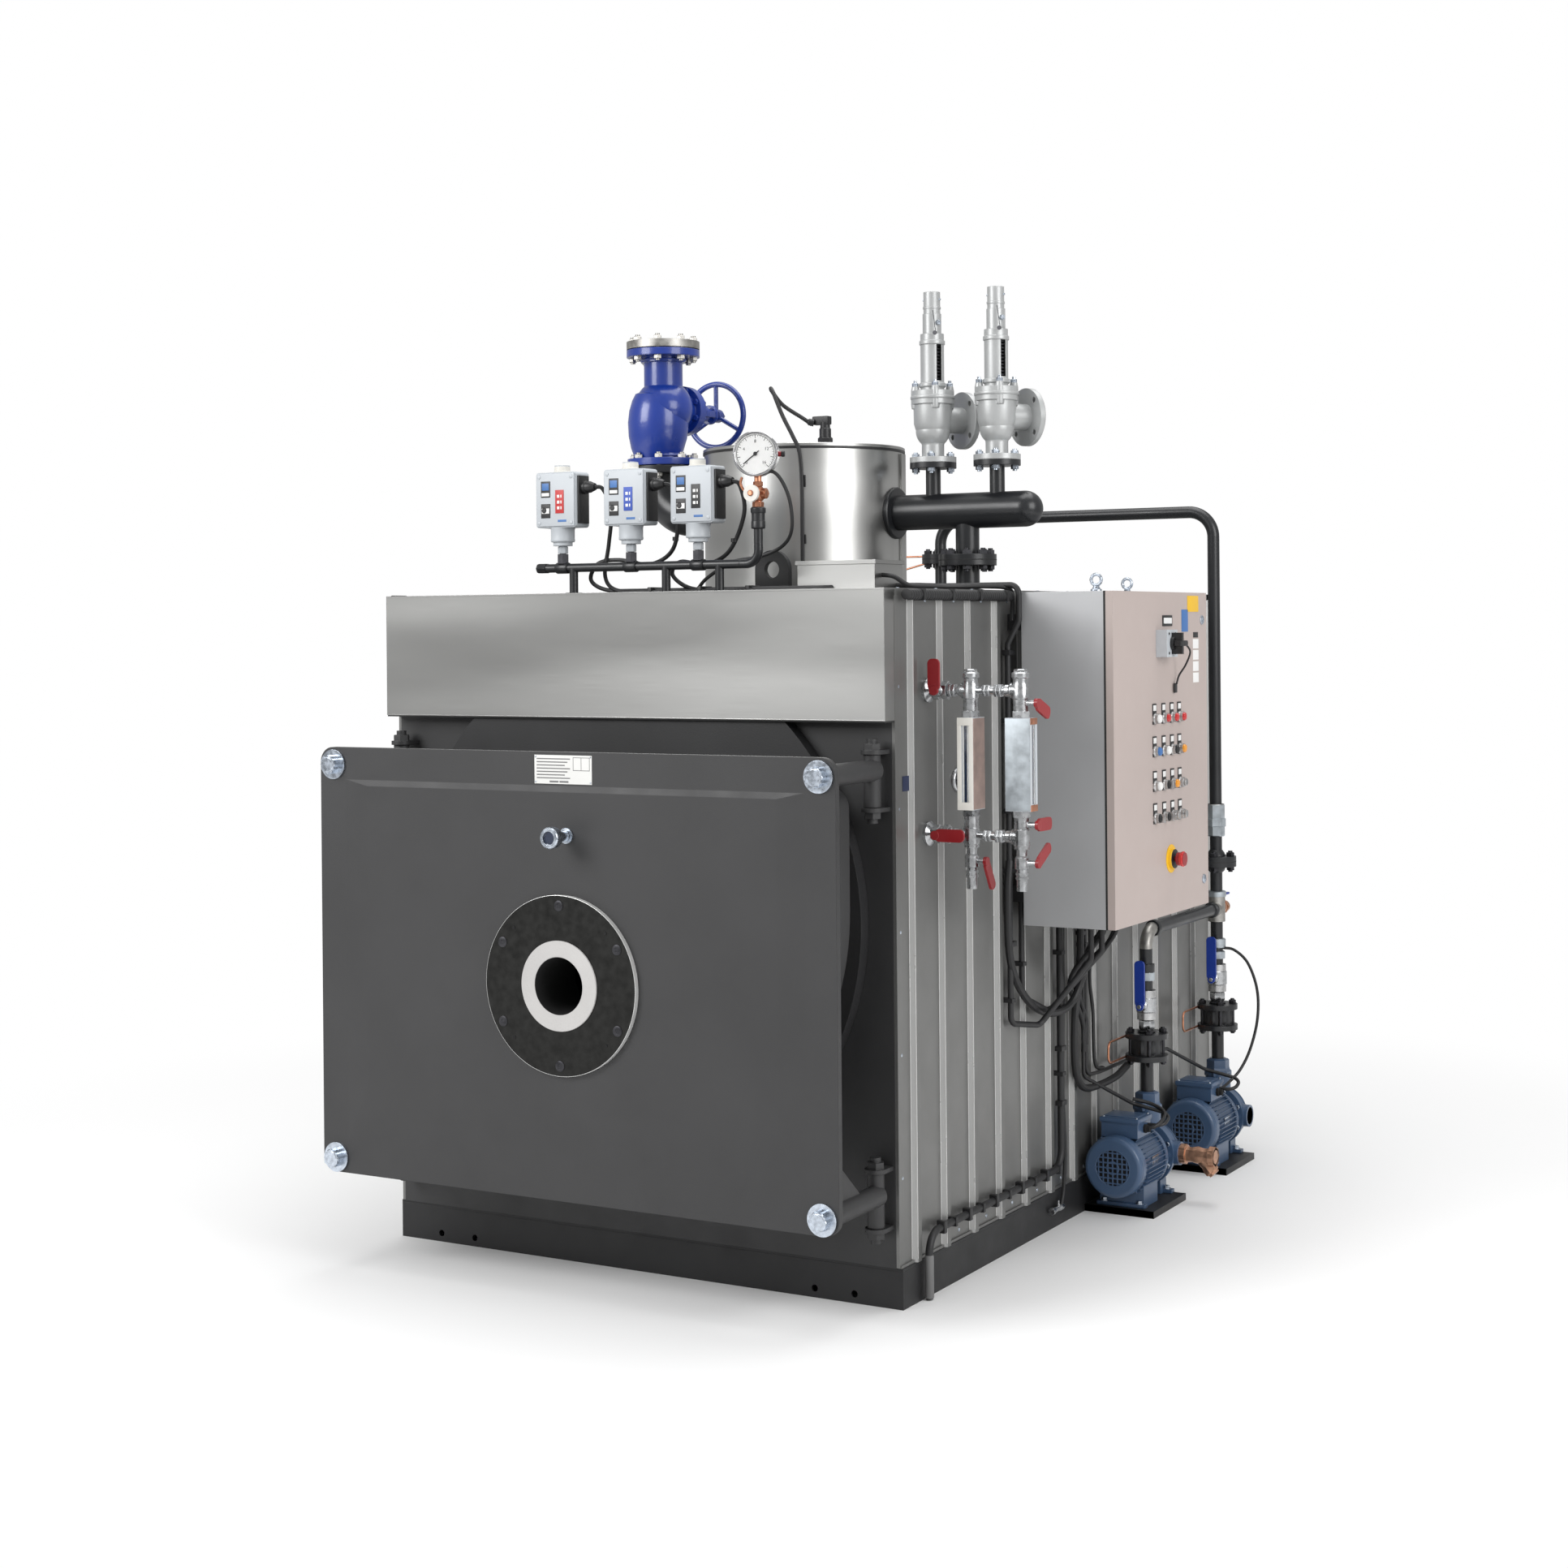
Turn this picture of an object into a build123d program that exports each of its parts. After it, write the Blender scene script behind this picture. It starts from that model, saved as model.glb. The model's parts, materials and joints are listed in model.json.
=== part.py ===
from build123d import *
import math
import os

# Horizontal fire-tube steam boiler on a base frame, in millimetres.
# It is drawn from the middle of the front edge of the base: X to the right, Y to the back, Z up.
# The saved solids are moved so that the origin is the centre of the base's underside.

# Pressure vessel: the casing, the door and the pieces on the top follow its size
VESSEL_RADIUS = 780.0
VESSEL_AXIS_HEIGHT = 1060.0
BASE_LENGTH = 2520.0
VESSEL_FRONT = -50.0
VESSEL_BACK = BASE_LENGTH - 220.0
FURNACE_RADIUS = 290.0
FURNACE_HEIGHT = VESSEL_AXIS_HEIGHT - 172.0
FURNACE_END = VESSEL_BACK - 420.0
TUBE_PLATE_THICKNESS = 30.0
SMOKE_TUBE_RADIUS = 28.0
TUBE_ROW_RADII = (375.0, 465.0)
TUBE_ROW_SWEEP = 230.0
TUBE_PITCH = 87.0
SADDLE_THICKNESS = 30.0
SADDLE_WIDTH = 1100.0
SADDLE_PLACES = (320.0, BASE_LENGTH - 590.0)

# Casing
CASING_HALF = VESSEL_RADIUS + 86.0
CASING_TOP = VESSEL_AXIS_HEIGHT + VESSEL_RADIUS + 153.0
PANEL_THICKNESS = 40.0
TOP_THICKNESS = 20.0
REAR_THICKNESS = 20.0
RIB_FIRST = 96.0
RIB_PITCH = 185.5
RIB_BASE_WIDTH = 44.0
RIB_TOP_WIDTH = 22.0
RIB_HEIGHT = 14.0
FRONT_PANEL_THICKNESS = 6.0
FRONT_PANEL_MARGIN = 8.0
HOOD_BOTTOM = CASING_TOP - 367.0
HOOD_DEPTH = 58.0
PANEL_CLEARANCE = 1.0

# Base frame
BASE_WIDTH = 2 * CASING_HALF + 18.0
BASE_HEIGHT = 114.0
DECK_THICKNESS = 8.0
BEAM_DEPTH = 90.0
CHANNEL_WALL = 10.0
CROSS_BEAM_WIDTH = 120.0
BASE_HOLE_RADIUS = 10.0
BASE_HOLE_HEIGHT = 26.0
BASE_HOLES_X = (595.0, 722.0)

# Smoke box and flue
SMOKE_BOX_WIDTH = 1000.0
SMOKE_BOX_BOTTOM = VESSEL_AXIS_HEIGHT - 360.0
SMOKE_BOX_TOP = VESSEL_AXIS_HEIGHT + 500.0
SMOKE_BOX_BACK = BASE_LENGTH + 100.0
FLUE_RADIUS = 175.0
FLUE_WALL = 5.0
FLUE_HEIGHT = VESSEL_AXIS_HEIGHT + 230.0
FLUE_LENGTH = 110.0
FLUE_FLANGE_RADIUS = 215.0
FLUE_FLANGE_THICKNESS = 10.0

# Front door
DOOR_WIDTH = BASE_WIDTH
DOOR_BOTTOM = VESSEL_AXIS_HEIGHT - 781.0
DOOR_TOP = VESSEL_AXIS_HEIGHT + 482.0
DOOR_FRONT = -365.0
DOOR_THICKNESS = 20.0
DOOR_CORNER = 45.0
FIELD_RISE = 4.0
FIELD_FOOT = (95.0, 95.0, 95.0)
FIELD_INSET = (178.0, 280.0, 113.0)
LINING_RADIUS = VESSEL_RADIUS - 90.0
LINING_TOP = VESSEL_AXIS_HEIGHT + 368.0
LINING_BACK = -62.0
LINING_RIM = 90.0
CHAMBER_FLOOR = -190.0
DOOR_BOX_RADIUS = LINING_RADIUS + 97.0
DOOR_BOX_CENTRE = VESSEL_AXIS_HEIGHT + 50.0
DOOR_BOX_TOP = LINING_TOP + 20.0
DOOR_BOX_BACK = -127.0
DOOR_BOX_CORNER = 60.0
SEAL_WIDTH = 40.0
SEAL_INSET = 25.0
BOLT_X = DOOR_WIDTH / 2 - 50.0
BOLT_HEIGHTS = (DOOR_BOTTOM + 44.0, DOOR_TOP - 51.0)
BOLT_SHANK_RADIUS = 15.0
BOLT_HEAD_FLATS = 48.0
BOLT_HEAD_HEIGHT = 24.0
WASHER_RADIUS = 44.0
WASHER_THICKNESS = 6.0
SHORT_SHANK = 18.0

# Hinges
HINGE_X = CASING_HALF - 46.0
HINGE_Y = -53.0
HINGE_PIN_RADIUS = 15.0
PIN_CLEARANCE = 0.06
SLEEVE_RADIUS = 24.0
HINGE_LUGS = ((BOLT_HEIGHTS[0] - 95.0, BOLT_HEIGHTS[0] + 68.0), (BOLT_HEIGHTS[1] - 109.0, BOLT_HEIGHTS[1] + 50.0))
LUG_THICKNESS = 12.0
LUG_WIDTH = 62.0
LUG_GAP = 1.0
PIN_OVERHANG = 37.0
PIN_NUT_FLATS = 44.0
PIN_NUT_HEIGHT = 18.0
ARM_RADIUS = 30.0
ARM_WALL = 8.0
GUSSET_HEIGHT = 150.0
GUSSET_END = -160.0
GUSSET_THICKNESS = 12.0

# Burner opening
BURNER_HEIGHT = FURNACE_HEIGHT
BURNER_PLATE_RADIUS = 253.0
BURNER_PLATE_THICKNESS = 20.0
BURNER_BORE_RADIUS = 127.0
RING_WIDTH = 46.0
RING_FRONT = 4.0
BURNER_BOLT_CIRCLE = 449.0
BURNER_BOLTS = 6
BURNER_BOLT_HEAD = 10.0
BURNER_BOLT_HEIGHT = 6.0
BURNER_HOLE_CIRCLE = 440.0
BURNER_HOLES = 4
BURNER_HOLE_RADIUS = 5.0
SIGHT_X = 19.0
SIGHT_HEIGHT = BURNER_HEIGHT + 420.0
SIGHT_FRONT = -459.0
SIGHT_RADIUS = 17.0
SIGHT_NUT_RADIUS = 28.0
SIGHT_NUT_LENGTH = 30.0

# Steam drum
DRUM_Y = 1040.0
DRUM_RADIUS = 330.0
DRUM_TOP = CASING_TOP + 469.0
LID_THICKNESS = 12.0
LID_OVERHANG = 4.0
PROBE_X = -52.0
PROBE_Y = DRUM_Y - 160.0
PROBE_BASE = (26.0, 26.0)
PROBE_STEM = (17.0, 60.0)

# Steam stop valve
VALVE_X = -DRUM_RADIUS - 220.0
VALVE_BOTTOM = CASING_TOP + 449.0
VALVE_LENGTH = 396.0
VALVE_FLANGE_RADIUS = 125.0
VALVE_FLANGE_THICKNESS = 24.0
VALVE_BORE_RADIUS = 62.5
VALVE_BOLT_CIRCLE = 210.0
VALVE_BOLTS = 8
VALVE_BOLT_HOLE = 9.0
VALVE_BOLT_TURN = 22.5
VALVE_BALL_RADIUS = 100.0
VALVE_NECK_RADIUS = 66.0
VALVE_COLLAR_RADIUS = 76.0
VALVE_COLLAR_HEIGHT = 18.0
BONNET_NECK_RADIUS = 64.0
BONNET_FLANGE_RADIUS = 86.0
BONNET_FLANGE = (104.0, 140.0)
BONNET_CONE_END = 212.0
BONNET_CONE_RADII = (56.0, 27.0)
YOKE_END = 300.0
YOKE_RADIUS = 22.0
STEM_RADIUS = 14.0
WHEEL_RADIUS = 122.0
WHEEL_RIM_RADIUS = 10.0
WHEEL_OFFSET = 345.0
WHEEL_SPOKES = (90.0, 210.0, 330.0)
SPOKE_RADIUS = 8.0
WHEEL_HUB_RADIUS = 24.0
WHEEL_HUB_LENGTH = 30.0
COMPANION_THICKNESS = 26.0
STEAM_PIPE_RADIUS = 70.0
STEAM_PIPE_BEND = 110.0
STEAM_NOZZLE_HEIGHT = CASING_TOP + 277.0
GASKET = 3.0
GASKET_MARGIN = 2.0

# Pressure switches on their header
HEADER_Y = 250.0
HEADER_Z = CASING_TOP + 84.0
HEADER_LEFT = -514.0
HEADER_RIGHT = 286.0
HEADER_RADIUS = 13.5
HEADER_BEND = 40.0
HEADER_RISE_TOP = CASING_TOP + 187.0
HEADER_SOCKET_RADIUS = 20.0
HEADER_SOCKET = 55.0
HEADER_POSTS = (-380.0, -40.0, 150.0)
SWITCH_X = (-420.0, -166.0, 76.0)
SWITCH_WIDTH = 150.0
SWITCH_DEPTH = 70.0
SWITCH_BOTTOM = CASING_TOP + 209.0
SWITCH_HEIGHT = 172.0
SWITCH_CORNER = 10.0
SWITCH_KNOB = (24.0, 22.0)
SWITCH_GLAND_HEIGHT = 124.0
SWITCH_GLAND = (13.0, 40.0)
BELLOWS_RADIUS = 36.0
BELLOWS_HEIGHT = 44.0
BELLOWS_RING = (30.0, 12.0)
SWITCH_STEM_RADIUS = 10.0
SWITCH_HEX = (32.0, 30.0)
GAUGE_X = 282.0
GAUGE_Z = HEADER_RISE_TOP + 221.0
GAUGE_RADIUS = 66.0
GAUGE_DEPTH = 46.0
GAUGE_TURN = 22.0
GAUGE_STEM_RADIUS = 11.0
GAUGE_COCK_Z = HEADER_RISE_TOP + 104.0
GAUGE_COCK = (16.0, 28.0)
GAUGE_HANDLE = (25.0, 44.0, 10.0)

# Pieces on the casing top
LUG_PLATES = ((180.0, 520.0), (-180.0, BASE_LENGTH - 960.0))
LUG_PLATE_WIDTH = 120.0
LUG_PLATE_HEIGHT = 132.0
LUG_PLATE_THICKNESS = 20.0
LUG_EYE_RADIUS = 26.0
JUNCTION_X = 470.0
JUNCTION_Y = 480.0
JUNCTION_SIZE = (262.0, 180.0, 92.0)
JUNCTION_LID = (5.0, 12.0)

# Safety valves on their header
SAFETY_Y = DRUM_Y + 20.0
SAFETY_Z = CASING_TOP + 262.0
SAFETY_PIPE_RADIUS = 57.15
SAFETY_END = DRUM_RADIUS + 515.0
SAFETY_VALVE_X = (DRUM_RADIUS + 136.0, DRUM_RADIUS + 362.0)
SAFETY_RISER_RADIUS = 24.0
SAFETY_FLANGE_Z = SAFETY_Z + 157.0
SAFETY_FLANGE_RADIUS = 75.0
SAFETY_FLANGE_THICKNESS = 18.0
SAFETY_BODY_RADIUS = 55.0
SAFETY_NECK_RADIUS = 36.0
SAFETY_OUTLET_Z = SAFETY_FLANGE_Z + 140.0
SAFETY_OUTLET_WAY = (math.cos(math.radians(58.0)), math.sin(math.radians(58.0)), 0.0)
SAFETY_OUTLET_REACH = 125.0
SAFETY_OUTLET_RADIUS = 92.5
SAFETY_OUTLET_BORE = 32.5
SAFETY_OUTLET_DEPTH = 80.0
SAFETY_OUTLET_NECK = 42.0
SAFETY_OUTLET_CIRCLE = 145.0
SAFETY_OUTLET_BOLTS = 4
SAFETY_OUTLET_HOLE = 9.0
SAFETY_BONNET_Z = SAFETY_FLANGE_Z + 232.0
SAFETY_BONNET_RADIUS = 68.0
SAFETY_BONNET_THICKNESS = 44.0
SAFETY_SPRING_TOP = SAFETY_FLANGE_Z + 415.0
SAFETY_SPRING_RADIUS = 38.0
SAFETY_SLOT = (18.0, 120.0)
SAFETY_SLEEVE_TOP = SAFETY_FLANGE_Z + 480.0
SAFETY_SLEEVE_RADIUS = 30.0
SAFETY_CAP_TOP = SAFETY_FLANGE_Z + 550.0
SAFETY_CAP_RADIUS = 27.0
SAFETY_FOOT_X = DRUM_RADIUS + 256.0
SAFETY_FOOT_RADIUS = 38.0
SAFETY_FOOT_FLANGE_Z = CASING_TOP + 104.0

# Feed water pipe
FEED_RADIUS = 21.2
FEED_X = -82.0
FEED_Z = CASING_TOP + 291.0
FEED_BEND = 90.0
FEED_FLANGE_Z = CASING_TOP + 146.0
FEED_FLANGE_RADIUS = 70.0
FEED_FLANGE_THICKNESS = 18.0
UNION_Z = (1140.0, 1250.0)
RISER_FLANGE_Z = 1048.0
TEE_Z = 880.0
TEE_LENGTH = 90.0
TEE_RADIUS = 30.0
TEE_BRANCH_RADIUS = 26.0
BALL_VALVE_Z = 636.0
BALL_VALVE_LENGTH = 96.0
BALL_VALVE_RADIUS = 31.0
BALL_VALVE_HEX = (54.0, 20.0)
BALL_STEM_RADIUS = 9.0
PUMP_LEVER = (150.0, 34.0)
PUMP_LEVER_REACH = 54.0
CHECK_Z = 500.0
CHECK_HEIGHT = 90.0
CHECK_BODY_RADIUS = 50.0
CHECK_FLANGE = 18.0
CROSSOVER_BEND = 60.0

# Feed pumps
PUMP_X = BASE_WIDTH / 2 + 115.0
PUMP_AXIS = 157.0
PUMP_FRONT_Y = 1239.0
PUMP_PITCH = 683.0
MOTOR_RADIUS = 92.0
MOTOR_LENGTH = 176.0
FAN_COVER_RADIUS = 97.0
FAN_COVER_LENGTH = 50.0
FAN_COVER_CORNER = 14.0
GRILLE_RADIUS = 58.0
GRILLE_DEPTH = 5.0
LANTERN_RADIUS = 78.0
LANTERN_LENGTH = 42.0
CASING_RADIUS = 104.0
CASING_PLATE = 16.0
CASING_LENGTH = 78.0
CASING_BODY_RADIUS = 92.0
PUMP_NECK_RADIUS = 28.0
PUMP_NECK_TOP = 352.0
PUMP_SHOULDER = (44.0, 300.0)
PUMP_INLET = (30.0, 116.0)
TERMINAL_BOX = (124.0, 112.0, 62.0)
TERMINAL_BOX_OFFSET = 62.0
TERMINAL_LID = (4.0, 12.0)
PLATE_HEIGHT = 22.0
PLATE_WIDTH = 235.0
PLATE_LENGTH = 290.0
PLATE_START = 46.0
PEDESTAL_WIDTH = 150.0
PEDESTAL_LENGTH = 120.0
PUMP_FOOT_HEIGHT = 55.0
TERMINAL_SINK = 6.0
STRAINER_LENGTH = 118.0
STRAINER_RADIUS = 22.0
STRAINER_HEX = (56.0, 20.0)
STRAINER_LEG = (19.0, 72.0)

# Level gauges
GAUGE_LINE_Y = 194.0
GAUGE_UPPER_Z = VESSEL_AXIS_HEIGHT + 645.0
GAUGE_LOWER_Z = VESSEL_AXIS_HEIGHT + 240.0
GAUGE_PLACES = (CASING_HALF + 137.0, CASING_HALF + 290.0)
GAUGE_BODY_Z = (GAUGE_LOWER_Z + 72.0, GAUGE_UPPER_Z - 75.0)
GAUGE_BODY_WIDTH = 48.0
GAUGE_BODY_DEPTH = 76.0
GAUGE_SLOT = (20.0, 5.0, 18.0)
GAUGE_PIPE_RADIUS = 12.0
GAUGE_COCK_RADIUS = 21.0
GAUGE_NUT = (38.0, 18.0)
GAUGE_NUT_STEP = 4.0
GAUGE_CAP = (34.0, 14.0)
GAUGE_STEM_DROP = 34.0
GAUGE_CAP_RISE = 40.0
GAUGE_NOZZLE = (22.0, 70.0)
GAUGE_DRAIN_RADIUS = 15.0
LEVER_PIVOT = 46.0
ESCUTCHEON = (34.0, 8.0)
PLUG_Y = 386.0
PLUG_Z = VESSEL_AXIS_HEIGHT + 381.0
PLUG = (17.0, 22.0)
GAUGE_LEVER = (90.0, 36.0)
DRAIN_LEVER = (92.0, 30.0)
LEVER_THICKNESS = 8.0
LEVER_HUB_RADIUS = 13.0
LEVER_STEM_RADIUS = 8.0
LEVER_STEM_REACH = (22.0, 6.0, 18.0)
LEVER_GAP = 0.3
DRAIN_Z = GAUGE_LOWER_Z - 72.0
DRAIN_END = GAUGE_LOWER_Z - 150.0

# Control cabinet
CABINET_INNER_X = CASING_HALF + 59.0
CABINET_DEPTH = 294.0
CABINET_FRONT_Y = 717.0
CABINET_WIDTH = 797.0
CABINET_BOTTOM = 985.0
CABINET_HEIGHT = 1001.0
CABINET_WALL = 3.0
CABINET_DOOR_THICKNESS = 24.0
CABINET_SEAM = 5.0
CABINET_RIM = 24.0
CABINET_LIP = 8.0
BRACKET_WIDTH = 60.0
BRACKET_HEIGHT = 50.0
BRACKET_INSET = (60.0, 90.0)
GLAND_PLATE = ((1010.0, 1140.0), (820.0, 1300.0), 6.0)
SWITCH_PLATE_Y = 1111.0
SWITCH_PLATE_Z = 1827.0
SWITCH_PLATE = (92.0, 84.0, 36.0)
SWITCH_HANDLE_RADIUS = 22.0
SWITCH_HANDLE_BASE = 10.0
SWITCH_GRIP = (14.0, 66.0, 34.0)
BUTTON_ROWS_Z = (1597.0, 1497.0, 1391.0, 1292.0)
BUTTON_COLUMNS_Y = (1045.0, 1122.0, 1193.0, 1258.0)
BUTTON_RADIUS = 15.0
BUTTON_HEIGHT = 16.0
ESTOP_Y = 1179.0
ESTOP_Z = 1157.0
ESTOP_TRAVEL = 6.0
ESTOP_CLEARANCE = 2.0
ESTOP_COLLAR = (30.0, 14.0)
ESTOP_STEM_RADIUS = 9.0
ESTOP_HEAD = (21.0, 24.0)

# Cables, held against the ribs of the right side
RIB_FACE = CASING_HALF + RIB_HEIGHT
BUNDLE_RADIUS = 15.0
CABLE_RADIUS = 9.0
THIN_CABLE_RADIUS = 6.0
BUNDLE_Z = CASING_TOP - 18.0
BUNDLE_Y = (12.0, 700.0)
STANDOFF = 1.0
CABLE_X = RIB_FACE + CABLE_RADIUS + STANDOFF
CABLE_BEND = 60.0
THIN_BEND = 28.0
LOOP_Z = 690.0
FOOT_Z = 187.0
CLIP = (26.0, 12.0)
CLIP_WALL = 2.0
CONDUIT_RADIUS = 11.0
FLOOR_CONDUIT_X = RIB_FACE + CONDUIT_RADIUS + STANDOFF
COPPER_RADIUS = 3.5
COPPER_BEND = 22.0
COPPER_REACH = 190.0
COPPER_SPREAD = 34.0
COPPER_OFFSET = 58.0
FEED_LOOP = (178.0, 11.0, 44.0)
FIT = 0.3

CABINET_OUTER_X = CABINET_INNER_X + CABINET_DEPTH
CABINET_BACK_Y = CABINET_FRONT_Y + CABINET_WIDTH
CABINET_TOP = CABINET_BOTTOM + CABINET_HEIGHT
CABINET_BODY_X = CABINET_OUTER_X - CABINET_DOOR_THICKNESS - CABINET_SEAM
DOOR_BACK = DOOR_FRONT + DOOR_THICKNESS
BURNER_FACE = DOOR_FRONT - BURNER_PLATE_THICKNESS
VALVE_TOP = VALVE_BOTTOM + VALVE_LENGTH
VALVE_MID = VALVE_BOTTOM + VALVE_LENGTH / 2
PUMP_FAN_Y = (PUMP_FRONT_Y, PUMP_FRONT_Y + PUMP_PITCH)
CASING_OFFSET = FAN_COVER_LENGTH + MOTOR_LENGTH + LANTERN_LENGTH
OUTLET_OFFSET = CASING_OFFSET + CASING_LENGTH / 2
FEED_Y = PUMP_FAN_Y[1] + OUTLET_OFFSET
PUMP_OUTLET_Y = (PUMP_FAN_Y[0] + OUTLET_OFFSET, FEED_Y)
CABINET_FLOOR = CABINET_BOTTOM - GLAND_PLATE[2]
BRACKET_UNDER = CABINET_BOTTOM + BRACKET_INSET[1] - BRACKET_HEIGHT / 2
LANE = (CABINET_FRONT_Y - 23.0, CABINET_FRONT_Y + BRACKET_INSET[0], 1061.0, 1246.0, 1268.0)
THIN_X = RIB_FACE + THIN_CABLE_RADIUS + 5.0
BOX_SIDE = PUMP_X + TERMINAL_BOX[0] / 2

# Each route: its corner points, the cable's radius and the radius of its bends
CABLE_ROUTES = (
    (((JUNCTION_X + JUNCTION_SIZE[0] / 2, 530.0, CASING_TOP + 15.0), (660.0, 530.0, CASING_TOP + 15.0),
      (660.0, 700.0, CASING_TOP + 15.0), (925.0, 700.0, CASING_TOP + 15.0), (925.0, 700.0, 1900.0),
      (CABLE_X, LANE[0], 1830.0), (CABLE_X, LANE[0], LOOP_Z), (915.0, 850.0, 665.0), (1040.0, 960.0, 860.0),
      (1040.0, 960.0, CABINET_FLOOR)), CABLE_RADIUS, THIN_BEND),
    (((CABLE_X, LANE[1], BRACKET_UNDER), (CABLE_X, LANE[1], 760.0), (925.0, 900.0, 700.0), (1055.0, 1010.0, 880.0),
      (1055.0, 1010.0, CABINET_FLOOR)), CABLE_RADIUS, THIN_BEND),
    (((FLOOR_CONDUIT_X, LANE[2], 1200.0), (FLOOR_CONDUIT_X, LANE[2], FOOT_Z), (FLOOR_CONDUIT_X, 128.0, FOOT_Z),
      (FLOOR_CONDUIT_X, 128.0, 4.0)), CONDUIT_RADIUS, CABLE_BEND),
    (((THIN_X, LANE[3], 1200.0), (THIN_X, LANE[3], 440.0), (985.0, 1430.0, 330.0), (1105.0, 1460.0, 300.0),
      (1105.0, 1390.0, 275.0), (BOX_SIDE, 1390.0, 275.0)), THIN_CABLE_RADIUS, THIN_BEND),
    (((THIN_X, LANE[4], 1200.0), (THIN_X, LANE[4], 440.0), (905.0, 1350.0, 440.0), (905.0, 1750.0, 440.0),
      (925.0, 1900.0, 430.0), (985.0, 2110.0, 330.0), (1105.0, 2140.0, 300.0), (1105.0, 2072.0, 275.0),
      (BOX_SIDE, 2072.0, 275.0)), THIN_CABLE_RADIUS, THIN_BEND),
)

# Each clip: the X, Y and Z of an upright cable's middle, and the cable's radius
WALL_CLIPS = (
    (CABLE_X, LANE[0], 1600.0, CABLE_RADIUS), (CABLE_X, LANE[0], 1150.0, CABLE_RADIUS),
    (CABLE_X, LANE[0], 760.0, CABLE_RADIUS), (CABLE_X, LANE[1], 860.0, CABLE_RADIUS),
    (FLOOR_CONDUIT_X, LANE[2], 860.0, CONDUIT_RADIUS), (FLOOR_CONDUIT_X, LANE[2], 480.0, CONDUIT_RADIUS),
    (THIN_X, LANE[3], 900.0, THIN_CABLE_RADIUS), (THIN_X, LANE[4], 860.0, THIN_CABLE_RADIUS),
)


def block(x, y, z):
    """Box between two values on each axis."""
    size = (x[1] - x[0], y[1] - y[0], z[1] - z[0])
    middle = ((x[0] + x[1]) / 2, (y[0] + y[1]) / 2, (z[0] + z[1]) / 2)
    return Pos(*middle) * Box(*size)


def around(middle, size):
    """The two values half a size to each side of the middle."""
    return (middle - size / 2, middle + size / 2)


def rod(start, end, radius):
    """Round bar from one point to another."""
    a = Vector(*start)
    b = Vector(*end)
    way = Plane(origin=a, z_dir=b - a)
    return extrude(way * Circle(radius), (b - a).length)


def tube(start, end, outer, inner):
    """Round tube from one point to another."""
    return rod(start, end, outer) - rod(start, end, inner)


def run(points, radius, bend):
    """Pipe through the points, as straight lengths and bends that meet face to face."""
    line = FilletPolyline(*points, radius=bend)
    solids = []
    for edge in line.edges():
        start = Plane(origin=edge @ 0, z_dir=edge % 0)
        solids.append(sweep(start * Circle(radius), path=edge))
    return solids


def hexagon(centre, normal, flats, height):
    """Hexagonal head or nut from its seat along the normal."""
    plane = Plane(origin=centre, z_dir=normal)
    return extrude(plane * RegularPolygon(flats / math.sqrt(3), 6), height)


def pattern(centre, normal, radius, count, first=0.0):
    """Points on a circle round an axis."""
    plane = Plane(origin=centre, z_dir=normal)
    points = []
    for number in range(count):
        angle = math.radians(first + 360.0 * number / count)
        points.append(plane.from_local_coords((radius * math.cos(angle), radius * math.sin(angle), 0)))
    return points


def flange(centre, normal, radius, thickness, bore, circle, count, hole, first=0.0):
    """Pipe flange with its bore and bolt holes, from its face along the normal."""
    way = Vector(*normal).normalized()
    end = Vector(*centre) + way * thickness
    solid = rod(centre, end, radius)
    if bore > 0:
        solid -= rod(centre, end, bore)
    for spot in pattern(centre, normal, circle / 2, count, first):
        solid -= rod(spot, spot + way * thickness, hole)
    return solid


def save(name, *shapes):
    """Write the solids of one sub-part, moved to the part's own origin."""
    solids = []
    for shape in shapes:
        items = shape if isinstance(shape, (list, tuple)) else [shape]
        for item in items:
            solids.extend(item.solids())
    moved = [Pos(0, -BASE_LENGTH / 2, 0) * solid for solid in solids]
    export_step(Compound(children=moved) if len(moved) > 1 else moved[0], "parts/" + name + ".step")


def vessel_cylinder(radius, front, back):
    """Cylinder on the vessel's axis."""
    return rod((0, front, VESSEL_AXIS_HEIGHT), (0, back, VESSEL_AXIS_HEIGHT), radius)


def channel(side):
    """Long base channel between the end channels, with its web outwards."""
    outer = side * BASE_WIDTH / 2
    inner = side * (BASE_WIDTH / 2 - BEAM_DEPTH)
    ends = (CHANNEL_WALL, BASE_LENGTH - CHANNEL_WALL)
    top = BASE_HEIGHT - DECK_THICKNESS
    body = block(sorted((outer, inner)), ends, (0, top))
    pocket = block(sorted((outer - side * CHANNEL_WALL, inner)), (BEAM_DEPTH, BASE_LENGTH - BEAM_DEPTH),
                   (CHANNEL_WALL, top - CHANNEL_WALL))
    return body - pocket


def end_plate(face_y, way):
    """Front or rear plate of the frame with its bolt holes."""
    back_y = face_y + way * CHANNEL_WALL
    half = BASE_WIDTH / 2
    body = block((-half, half), sorted((face_y, back_y)), (0, BASE_HEIGHT - DECK_THICKNESS))
    for x in BASE_HOLES_X:
        for side in (-1, 1):
            body -= rod((side * x, face_y, BASE_HOLE_HEIGHT), (side * x, back_y, BASE_HOLE_HEIGHT), BASE_HOLE_RADIUS)
    return body


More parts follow.
